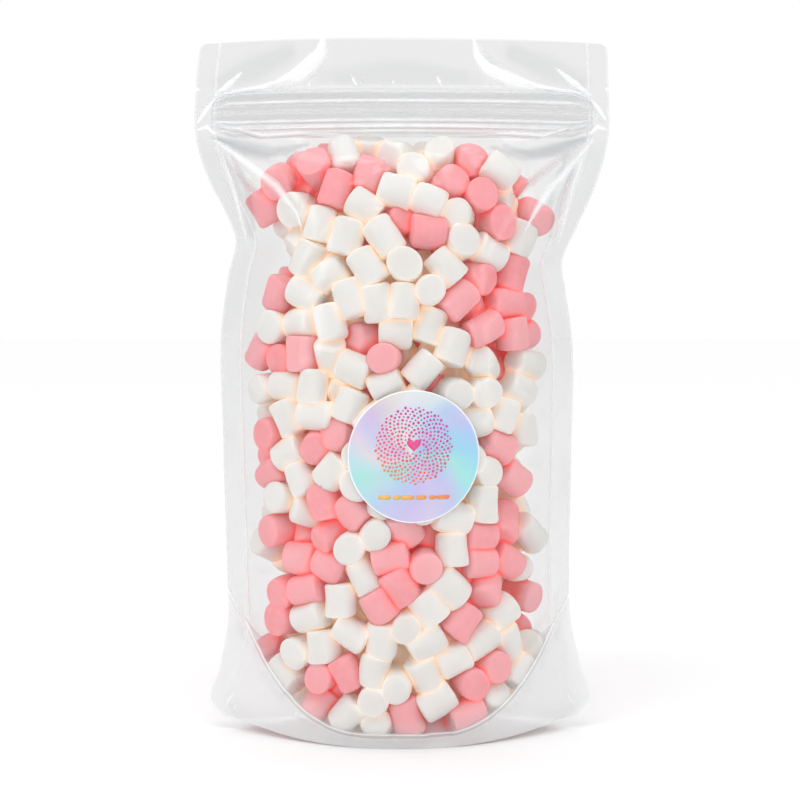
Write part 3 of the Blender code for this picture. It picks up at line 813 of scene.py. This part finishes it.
def fine_wrinkles(x, z, side):
    """Low creases that run mostly up and down, as in film that is filled and stands."""
    wave = np.sin(x / (5.3 * MM) + 2.0 * np.sin(z / (27 * MM) + side))
    cross = np.sin(z / (9.5 * MM) + 1.6 * np.sin(x / (15 * MM) - side))
    return WRINKLE_HEIGHT * wave + WRINKLE_HEIGHT * cross * wave


def build_sheet(name, side, columns, rows, sag_at):
    """The front or the back film of the pouch."""
    z, share = np.meshgrid(rows, columns, indexing="ij")
    x = share * edge_at(share, z)
    points, fields = sheet_points(x, z, side, sag_at(x, z))
    quads = grid_quads(*z.shape, flip=side > 0)
    piece = object_from_arrays(name, points.reshape(-1, 3), quads)
    for field, values in fields.items():
        set_attribute(piece, field, values)
    return piece


BASE_COLUMNS = 141
BASE_ROWS = 45
BASE_FILM_REACH = GUSSET_REACH * 1.06
BASE_CLEARANCE = 0.1 * MM
PLEAT_HEIGHT = 0.25 * MM
PLEAT_LENGTH = 3.1 * MM


def build_gusset():
    """The base film, folded up in a U between the front and the back."""
    run = np.linspace(-1, 1, BASE_COLUMNS)
    across = np.sin(np.linspace(-1, 1, BASE_ROWS) * math.pi / 2)
    x, share = np.meshgrid(run * BASE_FILM_REACH, across, indexing="ij")
    z = gusset_floor(x, share)
    wall = half_depth(x, z) - FILM_CLEARANCE / 2
    pleat = PLEAT_HEIGHT * np.sin(x / PLEAT_LENGTH) * (1 - share**2) * smooth_step(z / (5 * MM))
    points = np.stack((x, share * wall, np.maximum(z + pleat, BASE_CLEARANCE)), axis=-1)
    piece = object_from_arrays("gusset_film", points.reshape(-1, 3), grid_quads(*x.shape))
    # The base film's grey is painted shade in its tint
    values = {"fold_highlight_field": FAR_OFF, "grey": BASE_FILM_PAINTED_SHADE, "below_u": FAR_OFF, "into_seal": FAR_OFF}
    for field, value in values.items():
        set_attribute(piece, field, np.full(x.shape, value))
    return piece


# Zip


ZIP_LOW = 236.4 * MM
ZIP_HIGH = 254.6 * MM
ZIP_MIDDLE = 245.5 * MM
ZIP_INSET = 0.3 * MM
ZIP_INTO_SEAL = 1.5 * MM
ZIP_SQUEEZE = 0.3
ZIP_RINGS = 74
ZIP_COLUMNS = 221


def build_zip():
    """The two zip strips, welded to the inside of the front and the back film."""
    strips, rises, ends, quads = [], [], [], []
    heights = np.linspace(ZIP_LOW, ZIP_HIGH, ZIP_RINGS)
    z, share = np.meshgrid(heights, np.linspace(-1, 1, ZIP_COLUMNS), indexing="ij")
    x = share * (outline(share, z) - SEAL_WIDTH + ZIP_INTO_SEAL)
    squeeze = ZIP_SQUEEZE * smooth_step((np.abs(share) - 0.87) / 0.13)
    for side in (-1, 1):
        moved = z + (ZIP_MIDDLE - z) * squeeze
        points, _ = sheet_points(x, moved, side, 0)
        points[..., 1] -= side * ZIP_INSET
        quads.append(grid_quads(*z.shape, flip=side > 0) + len(strips) * z.size)
        strips.append(points.reshape(-1, 3))
        rises.append(z / MM)
        ends.append(smooth_step((np.abs(share) - 0.9) / 0.1))
    piece = object_from_arrays("zip_strips", np.concatenate(strips), np.concatenate(quads))
    set_attribute(piece, "rise", np.concatenate(rises))
    set_attribute(piece, "zip_end", np.concatenate(ends))
    return piece


# Sticker


def on_front(x, z, lift):
    """Points that far in front of the front film's smooth envelope."""
    return np.stack((x, -half_depth(x, z) - lift, raised(x, z)), axis=-1)


def build_sticker():
    """The foil disc with a rounded rim, on the front film."""
    radial = [(0.0, 1.0)] + [(share, 1.0) for share in np.linspace(0.06, 0.97, 22)]
    radial += [(0.985, 0.97), (0.995, 0.8), (1.0, 0.5), (0.998, 0.2), (0.99, 0.0)]
    radial += [(share, 0.0) for share in np.linspace(0.9, 0.0, 8)]
    share, top = np.array(radial).T
    middle = np.array(STICKER_PLACE)[:, None, None]
    x, z = STICKER_RADIUS * closed_rings(share, STICKER_SIDES) + middle
    ripple = 0.06 * MM * np.sin(x / (4.1 * MM)) * np.sin(z / (5.2 * MM))
    points = on_front(x, z, STICKER_LIFT + STICKER_THICKNESS * top[:, None] + ripple)
    quads = grid_quads(len(share), STICKER_SIDES + 1)
    return object_from_arrays("sticker_disc", points.reshape(-1, 3), quads)


def disc_shape(middle, radius, sides):
    """The outline of a small round dot."""
    angles = np.arange(sides) * math.tau / sides
    return np.stack((middle[0] + radius * np.cos(angles), middle[1] + radius * np.sin(angles)), axis=1)


def heart_shape(middle, size):
    """The outline of a heart."""
    t = np.arange(64) * math.tau / 64
    across = 16 * np.sin(t) ** 3
    up = 13 * np.cos(t) - 5 * np.cos(2 * t) - 2 * np.cos(3 * t) - np.cos(4 * t)
    return np.stack((middle[0] + size * across / 16, middle[1] + size * (up + 2) / 16), axis=1)


def bar_shape(middle, half_length, half_width):
    """The outline of a bar with round ends."""
    t = np.linspace(-math.pi / 2, math.pi / 2, 9)
    right = np.stack((half_length + half_width * np.cos(t), half_width * np.sin(t)), axis=1)
    return np.array(middle) + np.concatenate((right, -right))


ROSETTE_UP = 4.2 * MM
ROSETTE_DOTS = range(14, 330)
ROSETTE_STEP = 0.80 * MM
DOT_SIDES = 12
HEART_SIZE = 2.6 * MM
BARS_UP = -15.3 * MM
BAR_HALF_WIDTH = 0.75 * MM
# Bars of the print's lower row, as (middle, half length), in mm
PRINT_BARS = ((-11, 1.6), (-6.4, 0.6), (-2.4, 1.8), (2.8, 1.2), (7, 0.6), (11, 1.8))
INK_LIFTS = (0.12 * MM, 0.08 * MM)


def print_shapes():
    """A rosette of dots round a heart, with a row of bars below: outlines in metres."""
    shapes = [heart_shape((0, ROSETTE_UP), HEART_SIZE)]
    for seed in ROSETTE_DOTS:
        reach = ROSETTE_STEP * math.sqrt(seed)
        turn = seed * math.pi * (3 - math.sqrt(5))
        size = (0.32 + 0.22 * math.sin(seed * 1.7) ** 2) * MM
        middle = (reach * math.cos(turn), ROSETTE_UP + reach * math.sin(turn))
        shapes.append(disc_shape(middle, size, DOT_SIDES))
    for place, half_length in PRINT_BARS:
        shapes.append(bar_shape((place * MM, BARS_UP), half_length * MM, BAR_HALF_WIDTH))
    return shapes


def build_print():
    """The print's shapes as thin raised ink, just in front of the foil."""
    points, faces, start = [], [], 0
    for shape in print_shapes():
        count = len(shape)
        ring = np.concatenate((shape, shape.mean(axis=0, keepdims=True))) + STICKER_PLACE
        for lift in INK_LIFTS:
            points.append(on_front(*ring.T, STICKER_LIFT + STICKER_THICKNESS + lift))
        around = np.arange(count)
        after = (around + 1) % count
        hub = np.full(count, count)
        low = count + 1
        top, bottom = (around, after, hub), (after + low, around + low, hub + low)
        sides = (after, around, around + low), (after, around + low, after + low)
        faces += [np.stack(corners, axis=1) + start for corners in (top, bottom, *sides)]
        start += 2 * low
    return object_from_arrays("sticker_print", np.concatenate(points), (), np.concatenate(faces))


# Materials


class Shading:
    """The node tree of a material or a world. An input gets a value or another node's output."""

    def __init__(self, owner):
        owner.use_nodes = True
        self.owner = owner
        self.tree = owner.node_tree
        self.tree.nodes.clear()

    def add(self, kind, *values, output=0, settings=(), **inputs):
        """Adds a node and returns its output. Values go to the first inputs; _ is a space in a name."""
        node = self.tree.nodes.new("ShaderNode" + kind)
        for name, value in dict(settings).items():
            setattr(node, name, value)
        for socket, value in zip(node.inputs, values):
            self.join(socket, value)
        for name, value in inputs.items():
            self.join(node.inputs[name.replace("_", " ")], value)
        return node.outputs[output]

    def join(self, socket, value):
        if isinstance(value, bpy.types.NodeSocket):
            self.tree.links.new(value, socket)
        else:
            socket.default_value = value

    def maths(self, operation, *values):
        return self.add("Math", *values, settings={"operation": operation})

    def attribute(self, name):
        return self.add("Attribute", output=2, settings={"attribute_name": name})

    def mapped(self, value, start, end, low=0.0, high=1.0):
        smooth = {"interpolation_type": "SMOOTHSTEP"}
        return self.add("MapRange", value, start, end, low, high, settings=smooth)

    def noise(self, scale, detail=3.0, roughness=0.5):
        place = self.add("TexCoord", output=3)
        return self.add("TexNoise", Vector=place, Scale=scale, Detail=detail, Roughness=roughness)

    def ramp(self, value, stops):
        output = self.add("ValToRGB", value)
        elements = output.node.color_ramp.elements
        elements[0].position, elements[0].color = stops[0][0], (*stops[0][1], 1)
        elements[1].position, elements[1].color = stops[-1][0], (*stops[-1][1], 1)
        for position, colour in stops[1:-1]:
            elements.new(position).color = (*colour, 1)
        return output

    def blend(self, share, first, second):
        node = self.add("Mix", share, settings={"data_type": "RGBA"}).node
        colours = [socket for socket in node.inputs if socket.type == "RGBA"]
        self.join(colours[0], first)
        self.join(colours[1], second)
        return next(socket for socket in node.outputs if socket.type == "RGBA")

    def finish(self, shader, kind="Material"):
        output = self.tree.nodes.new("ShaderNodeOutput" + kind)
        self.join(output.inputs["Surface"], shader)
        return self.owner


def shading_of(name):
    """The empty node tree of a new material."""
    return Shading(bpy.data.materials.new(name))


def grey(value):
    return (value, value, value, 1)


def clear_film_shader(m, tint, milk_and_painted_highlight, bump):
    """Clear film: see-through with a sheen that grows at glancing angles, and white where the given
    share is 1: partly the plastic's own milkiness, partly painted highlight.
    """
    facing = m.add("LayerWeight", 0.5, bump, output=1)
    glancing = m.maths("POWER", facing, 4.0)
    reflect = m.maths("MULTIPLY_ADD", glancing, 0.6, 0.03)
    clear = m.add("BsdfTransparent", Color=tint)
    gloss = m.add("BsdfGlossy", Color=grey(1.0), Roughness=0.15, Normal=bump)
    film = m.add("MixShader", reflect, clear, gloss)
    white = m.add("BsdfDiffuse", Color=(0.93, 0.94, 0.95, 1), Normal=bump)
    return m.add("MixShader", milk_and_painted_highlight, film, white)


def film_material():
    m = shading_of("clear_film")
    # Painted highlights: milky white on the folds, and lines of it along the edges of the U seal and
    # the side seals
    fold_highlight = m.mapped(m.attribute("fold_highlight_field"), 0.0, 0.45)
    below_u = m.attribute("below_u")
    into_seal = m.attribute("into_seal")
    upper_line = line(m, below_u, -0.2, 0.45)
    lower_line = line(m, below_u, 1.5, 0.35)
    seal_line = line(m, into_seal, 0.1, 0.7)
    outer_line = line(m, into_seal, 7.7, 0.8)
    painted_highlight_lines = m.maths("MAXIMUM", upper_line, lower_line)
    painted_highlight_lines = m.maths("MAXIMUM", painted_highlight_lines, m.maths("MULTIPLY", seal_line, 0.45))
    painted_highlight_lines = m.maths("MAXIMUM", painted_highlight_lines, m.maths("MULTIPLY", outer_line, 0.35))
    in_seal = m.mapped(into_seal, -0.3, 0.6)
    # Milky white below the U seal: partly the sealed skirt's own haze, partly painted light that lifts
    # the shade under the pouch; the U seal's band and the cloudy side seals are the film's own
    under = m.mapped(below_u, 0.0, 2.0)
    cloudy = m.mapped(m.noise(55.0, 4.0), 0.42, 0.7)
    haze_and_painted_light = m.maths("MULTIPLY_ADD", under, 0.66, 0.015)
    near_u = m.mapped(below_u, -9.0, 1.0, 0.0, 0.22)
    seam = m.maths("MULTIPLY", line(m, below_u, 0.65, 2.4), 0.5)
    haze_and_painted_light = m.maths("MAXIMUM", m.maths("MAXIMUM", haze_and_painted_light, seam), near_u)
    haze_and_painted_light = m.maths("MULTIPLY_ADD", m.maths("MULTIPLY", cloudy, in_seal), 0.03, haze_and_painted_light)
    fold_highlights = m.maths("MULTIPLY", fold_highlight, 0.8)
    milk_and_painted_highlight = m.maths("MAXIMUM", m.maths("MAXIMUM", fold_highlights, m.maths("MULTIPLY", painted_highlight_lines, 0.75)), haze_and_painted_light)
    # Painted shade: the grey attribute darkens the film's see-through tint
    tint = m.blend(m.attribute("grey"), grey(0.928), (0.72, 0.73, 0.74, 1))
    creases = m.noise(120.0, 5.0, 0.55)
    bump = m.add("Bump", Strength=0.05, Distance=0.0005, Height=creases)
    return m.finish(clear_film_shader(m, tint, milk_and_painted_highlight, bump))


def line(m, field, middle, half_width):
    """1 on the line where the field has the middle value, falling to 0 at the half width."""
    away = m.maths("ABSOLUTE", m.maths("SUBTRACT", field, middle))
    return m.mapped(away, half_width, half_width * 0.4)


# Zip pattern: (height in mm, how milky); the white lines are partly the strips' own milky plastic and
# partly painted highlights on the ribs
ZIP_PATTERN = (
    (236.4, 0.05), (237.5, 0.05), (238.0, 0.75), (238.4, 0.05), (239.2, 0.1), (239.5, 0.95),
    (240.8, 0.95), (241.1, 0.15), (241.5, 0.15), (241.8, 0.95), (242.5, 0.95), (242.9, 0.06),
    (245.2, 0.06), (245.5, 0.85), (246.0, 0.1), (248.9, 0.05), (249.2, 0.95), (250.1, 0.95),
    (250.5, 0.2), (251.4, 0.04), (253.1, 0.06), (253.4, 0.9), (253.9, 0.5), (254.6, 0.1),
)


def zip_material():
    m = shading_of("zip_strips")
    rise = m.attribute("rise")
    share = m.add("MapRange", rise, ZIP_LOW / MM, ZIP_HIGH / MM)
    span = (ZIP_HIGH - ZIP_LOW) / MM
    stops = [((height - ZIP_LOW / MM) / span, (milky,) * 3) for height, milky in ZIP_PATTERN]
    pattern = m.ramp(share, stops)
    ends = m.maths("MULTIPLY", m.attribute("zip_end"), 0.55)
    # Patchy strength of the white lines, which are part plastic and part painted highlight
    patchy_white = m.mapped(m.noise(90.0, 3.0), 0.3, 0.6, 0.72, 1.0)
    milk_and_painted_highlight = m.maths("MULTIPLY", m.maths("MAXIMUM", pattern, ends), patchy_white)
    # Painted shade: a slightly darker tint in the clearer bands between the white lines
    tint = m.ramp(pattern, [(0.0, (0.90, 0.90, 0.905)), (0.3, (0.95, 0.95, 0.95))])
    bump = m.add("Bump", Strength=0.1, Distance=0.0004, Height=m.noise(160.0, 2.0))
    return m.finish(clear_film_shader(m, tint, milk_and_painted_highlight, bump))


PAINTED_GLOW_SHARE = 0.07
PAINTED_GLOW_DEPTH = 1.5


def marshmallow_material(name, deep, plain, dusted, painted_crevice_colour, scatter):
    """Soft foam: scattered light inside, fine pores and a dusting of starch, with a painted warm tint
    and painted glow in the crevices.
    """
    m = shading_of(name)
    tone = m.attribute("tone")
    powder = m.mapped(m.noise(420.0, 6.0, 0.65), 0.4, 0.75)
    mottle = m.mapped(m.noise(130.0, 3.0), 0.3, 0.75)
    colour = m.blend(mottle, deep, plain)
    colour = m.blend(m.maths("MULTIPLY", tone, 0.6), colour, dusted)
    colour = m.blend(m.maths("MULTIPLY", powder, 0.3), colour, dusted)
    # Painted light and shade: the crevice colour is painted where pieces touch and deep in the heap,
    # and it also glows faintly
    painted_crevice = m.mapped(m.attribute("painted_crevice"), 0.15, 1.0, 0.0, 0.85)
    colour = m.blend(painted_crevice, colour, painted_crevice_colour)
    painted_glow_colour = [PAINTED_GLOW_SHARE * channel**PAINTED_GLOW_DEPTH for channel in painted_crevice_colour[:3]]
    painted_glow = m.blend(painted_crevice, grey(0), (*painted_glow_colour, 1))
    pores = m.noise(1500.0, 4.0, 0.6)
    swell = m.noise(260.0, 3.0, 0.5)
    height = m.maths("MULTIPLY_ADD", pores, 0.35, swell)
    bump = m.add("Bump", Strength=0.16, Distance=0.0004, Height=height)
    roughness = m.mapped(powder, 0.0, 1.0, 0.62, 0.85)
    shader = m.add(
        "BsdfPrincipled",
        Base_Color=colour,
        Roughness=roughness,
        Normal=bump,
        settings={"subsurface_method": "BURLEY"},
        Subsurface_Weight=0.7,
        Subsurface_Radius=scatter,
        Subsurface_Scale=0.005,
        Emission_Color=painted_glow,
        Emission_Strength=1.0,
        Sheen_Weight=0.1,
        Specular_IOR_Level=0.2,
    )
    return m.finish(shader)


# Painted reflection: the foil's iridescent rainbow shine is painted into its colour, over its own pale
# pearly tint
# Foil colours round the disc as they look, from the right, counter-clockwise: (share of a turn, colour)
FOIL_SHEEN_COLOURS = (
    (0.0, (0.58, 0.87, 0.99)), (0.05, (0.64, 0.84, 1.0)), (0.10, (0.78, 0.82, 1.0)),
    (0.15, (0.74, 0.88, 1.0)), (0.20, (0.88, 0.98, 0.99)), (0.26, (0.97, 0.99, 0.99)),
    (0.32, (0.93, 0.92, 0.90)), (0.36, (0.88, 0.80, 0.93)), (0.41, (0.86, 0.82, 0.97)),
    (0.46, (0.96, 0.88, 0.93)), (0.50, (0.80, 0.92, 0.96)), (0.55, (0.66, 0.94, 0.92)),
    (0.60, (0.70, 0.92, 0.95)), (0.66, (0.72, 0.84, 0.99)), (0.72, (0.80, 0.78, 0.98)),
    (0.79, (0.84, 0.82, 0.98)), (0.86, (0.76, 0.80, 0.99)), (0.91, (0.66, 0.90, 0.97)),
    (0.95, (0.62, 0.95, 0.93)), (1.0, (0.58, 0.87, 0.99)),
)
FOIL_RING_SHEEN_COLOURS = (
    (0.0, (0.80, 0.93, 1.0)), (0.3, (0.86, 0.80, 0.99)), (0.55, (0.97, 0.88, 0.95)),
    (0.75, (0.82, 0.97, 0.93)), (1.0, (0.80, 0.93, 1.0)),
)
FOIL_SHARE = 0.86
DISPLAY_GAMMA = 2.2


def paint(colour, share=1.0):
    """The paint that looks like this display colour, in the studio's light."""
    return tuple(share * channel**DISPLAY_GAMMA for channel in colour)


def painted(stops, share=1.0):
    return [(position, paint(colour, share)) for position, colour in stops]


def sticker_directions(m):
    """Position on the sticker, as (across, up) from its middle, in sticker radii."""
    place = m.add("SeparateXYZ", m.add("TexCoord", output=3)).node.outputs
    across = m.maths("DIVIDE", m.maths("SUBTRACT", place[0], STICKER_PLACE[0]), STICKER_RADIUS)
    up = m.maths("DIVIDE", m.maths("SUBTRACT", place[2], STICKER_PLACE[1]), STICKER_RADIUS)
    return across, up


def foil_material():
    m = shading_of("pearly_foil")
    across, up = sticker_directions(m)
    turn = m.maths("FRACT", m.maths("DIVIDE", m.maths("ARCTAN2", up, across), math.tau))
    reach = m.maths("SQRT", m.maths("MULTIPLY_ADD", across, across, m.maths("MULTIPLY", up, up)))
    warp = m.maths("MULTIPLY_ADD", m.noise(60.0, 2.0), 0.09, -0.135)
    twist = m.maths("MULTIPLY_ADD", reach, 0.10, m.maths("ADD", turn, warp))
    # Painted reflection: the rainbow rays and rings stand for the foil's iridescent shine
    rays = m.ramp(m.maths("FRACT", twist), painted(FOIL_SHEEN_COLOURS, FOIL_SHARE))
    rings = m.maths("FRACT", m.maths("MULTIPLY_ADD", reach, 1.15, m.maths("MULTIPLY", up, 0.55)))
    hues = m.ramp(rings, painted(FOIL_RING_SHEEN_COLOURS, FOIL_SHARE))
    colour = m.blend(0.25, rays, hues)
    rim = m.mapped(reach, 0.975, 0.988)
    colour = m.blend(rim, colour, (0.97, 0.97, 0.98, 1))
    brushed = m.noise(700.0, 2.0)
    bump = m.add("Bump", Strength=0.05, Distance=0.0003, Height=brushed)
    shader = m.add(
        "BsdfPrincipled",
        Base_Color=colour,
        Roughness=m.mapped(brushed, 0.3, 0.7, 0.3, 0.4),
        Normal=bump,
        Metallic=0.15,
        Coat_Weight=0.3,
        Coat_Roughness=0.12,
    )
    return m.finish(shader)


def ink_material():
    """Print that runs from magenta at the top and sides through red and orange to gold, lower left."""
    m = shading_of("sticker_ink")
    across, up = sticker_directions(m)
    toward_gold = m.maths("MULTIPLY_ADD", across, 0.35, m.maths("MULTIPLY_ADD", up, 0.75, 0.52))
    wobble = m.maths("MULTIPLY_ADD", m.noise(350.0, 2.0), 0.1, toward_gold)
    colour = m.ramp(
        wobble,
        [(0.0, (0.85, 0.52, 0.10)), (0.25, (0.90, 0.28, 0.08)), (0.5, (0.88, 0.12, 0.14)),
         (0.8, (0.80, 0.06, 0.34)), (1.0, (0.62, 0.06, 0.45))],
    )
    shader = m.add("BsdfPrincipled", Base_Color=colour, Roughness=0.35, Coat_Weight=0.2)
    return m.finish(shader)


# Stage


FLOOR_RADIUS = 6.0
FLOOR_SIDES = 48
FLOOR_FADE = 0.8


def build_floor():
    """A pale flat floor, wide enough that its far edge is lost in the white."""
    radii = FLOOR_RADIUS * np.array((0.0, 0.02, 0.05, 0.1, 0.2, 0.4, 0.7, 1.0))
    x, y = closed_rings(radii, FLOOR_SIDES)
    points = np.stack((x, y, 0 * x), axis=-1)
    floor = object_from_arrays("floor", points.reshape(-1, 3), grid_quads(*x.shape))
    m = shading_of("pale_floor")
    near = m.blend(m.noise(3.0, 2.0), grey(0.885), grey(0.90))
    colour = m.blend(m.attribute("far"), near, grey(0.95))
    set_attribute(floor, "far", np.clip(np.hypot(x, y) / FLOOR_FADE - 0.5, 0, 1))
    floor.data.materials.append(m.finish(m.add("BsdfDiffuse", Color=colour)))


# Brightness of the surroundings, as (straight down, level, straight up), for light and for reflections
WORLD_LIGHT = (0.5, 0.50, 1.31)
WORLD_REFLECTED = (0.5, 0.35, 0.8)


def build_world():
    """Surroundings that are white to the eye, and brighter from above as light and in reflections."""
    world = bpy.data.worlds.new("studio")
    bpy.context.scene.world = world
    m = Shading(world)
    height = m.add("MapRange", m.add("SeparateXYZ", m.add("TexCoord"), output=2), -1.0)
    light, reflected = [
        m.add("Background", m.ramp(height, [(0.5 * i, (level,) * 3) for i, level in enumerate(levels)]))
        for levels in (WORLD_LIGHT, WORLD_REFLECTED)
    ]
    path = m.add("LightPath").node.outputs
    unseen = m.add("MixShader", path["Is Glossy Ray"], light, reflected)
    seen = m.add("Background", grey(1.0))
    m.finish(m.add("MixShader", path["Is Camera Ray"], unseen, seen), "World")


def area_light(name, place, target, size, power):
    light = bpy.data.lights.new(name, "AREA")
    light.shape = "RECTANGLE"
    light.size, light.size_y = size
    light.energy = power
    lamp = bpy.data.objects.new(name, light)
    lamp.location = place
    aim(lamp, target)
    bpy.context.scene.collection.objects.link(lamp)


def aim(thing, target):
    """Turns a camera or lamp so that its -Z axis points at the target."""
    direction = Vector(target) - Vector(thing.location)
    thing.rotation_euler = direction.to_track_quat("-Z", "Y").to_euler()


CAMERA_DISTANCE = 0.6
CAMERA_ELEVATION = math.radians(3.84)
CAMERA_TARGET = (-0.0002, 0.0, 0.1326)
CAMERA_LENS = 68.1
SENSOR_WIDTH = 36


def build_camera():
    camera = bpy.data.cameras.new("camera")
    camera.sensor_width = SENSOR_WIDTH
    camera.lens = CAMERA_LENS
    camera.clip_start = 0.01
    made = bpy.data.objects.new("camera", camera)
    back = CAMERA_DISTANCE * math.cos(CAMERA_ELEVATION)
    up = CAMERA_DISTANCE * math.sin(CAMERA_ELEVATION)
    made.location = (CAMERA_TARGET[0], -back, CAMERA_TARGET[2] + up)
    aim(made, CAMERA_TARGET)
    bpy.context.scene.collection.objects.link(made)
    bpy.context.scene.camera = made


# Studio lights as (name, place, size, watts)
SOFTBOXES = (
    ("softbox_left", (-0.9, -0.7, 0.55), (0.12, 0.8), 1.5),
    ("softbox_right", (1.0, -0.6, 0.45), (0.10, 0.8), 0.9),
    ("softbox_top", (-0.1, -0.45, 1.1), (0.9, 0.2), 2.0),
)
LIGHT_TARGET = (0, 0, 0.13)


def build_stage():
    build_floor()
    build_world()
    for name, place, size, power in SOFTBOXES:
        area_light(name, place, LIGHT_TARGET, size, power)
    build_camera()
    bpy.context.scene.view_settings.view_transform = "Standard"


def dress(piece, material, slot_name, *replaced):
    """Gives a piece its material and body, and hides the CAD nodes that it stands for."""
    piece.data.materials.append(material)
    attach(piece, "root")
    if replaced:
        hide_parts(*replaced)


# Rows and columns of the film sheets: (columns inside, columns in a seal), (row step, step at the zip)
FRONT_GRID = film_columns(171, 10), film_rows(0.9 * MM, 0.42 * MM)
BACK_GRID = film_columns(111, 6), film_rows(1.3 * MM, 0.7 * MM)


def main():
    generator = np.random.default_rng(SEED)
    packing = top_up(pack_marshmallows(MARSHMALLOW_COUNT, generator), generator)
    packing = without_crushed(packing)
    sweets, cloud = build_marshmallows(packing, generator)
    film = film_material()
    front = build_sheet("film_front", -1, *FRONT_GRID, sag_field(cloud, -1))
    back = build_sheet("film_back", 1, *BACK_GRID, sag_field(cloud, 1))
    gusset = build_gusset()
    dress(front, film, "film", "pouch")
    dress(back, film, "film", "pouch")
    dress(gusset, film, "film", "pouch")
    dress(build_zip(), zip_material(), "zip", "pouch")
    # The fourth colour of each marshmallow material is the painted crevice tint and glow: peach for
    # white, coral for pink
    white = marshmallow_material(
        "white_marshmallow", (0.845, 0.83, 0.795, 1), (0.875, 0.865, 0.835, 1), (0.91, 0.905, 0.885, 1),
        (1.0, 0.80, 0.62, 1), (1.0, 0.7, 0.5),
    )
    pink = marshmallow_material(
        "pink_marshmallow", (0.99, 0.335, 0.36, 1), (1.0, 0.38, 0.405, 1), (1.0, 0.56, 0.59, 1),
        (1.0, 0.20, 0.17, 1), (1.0, 0.45, 0.42),
    )
    dress(sweets["marshmallows_white"], white, "marshmallow_white", "pouch")
    dress(sweets["marshmallows_pink"], pink, "marshmallow_pink", "pouch")
    dress(build_sticker(), foil_material(), "sticker", "sticker")
    dress(build_print(), ink_material(), "sticker", "sticker")
    build_stage()


main()
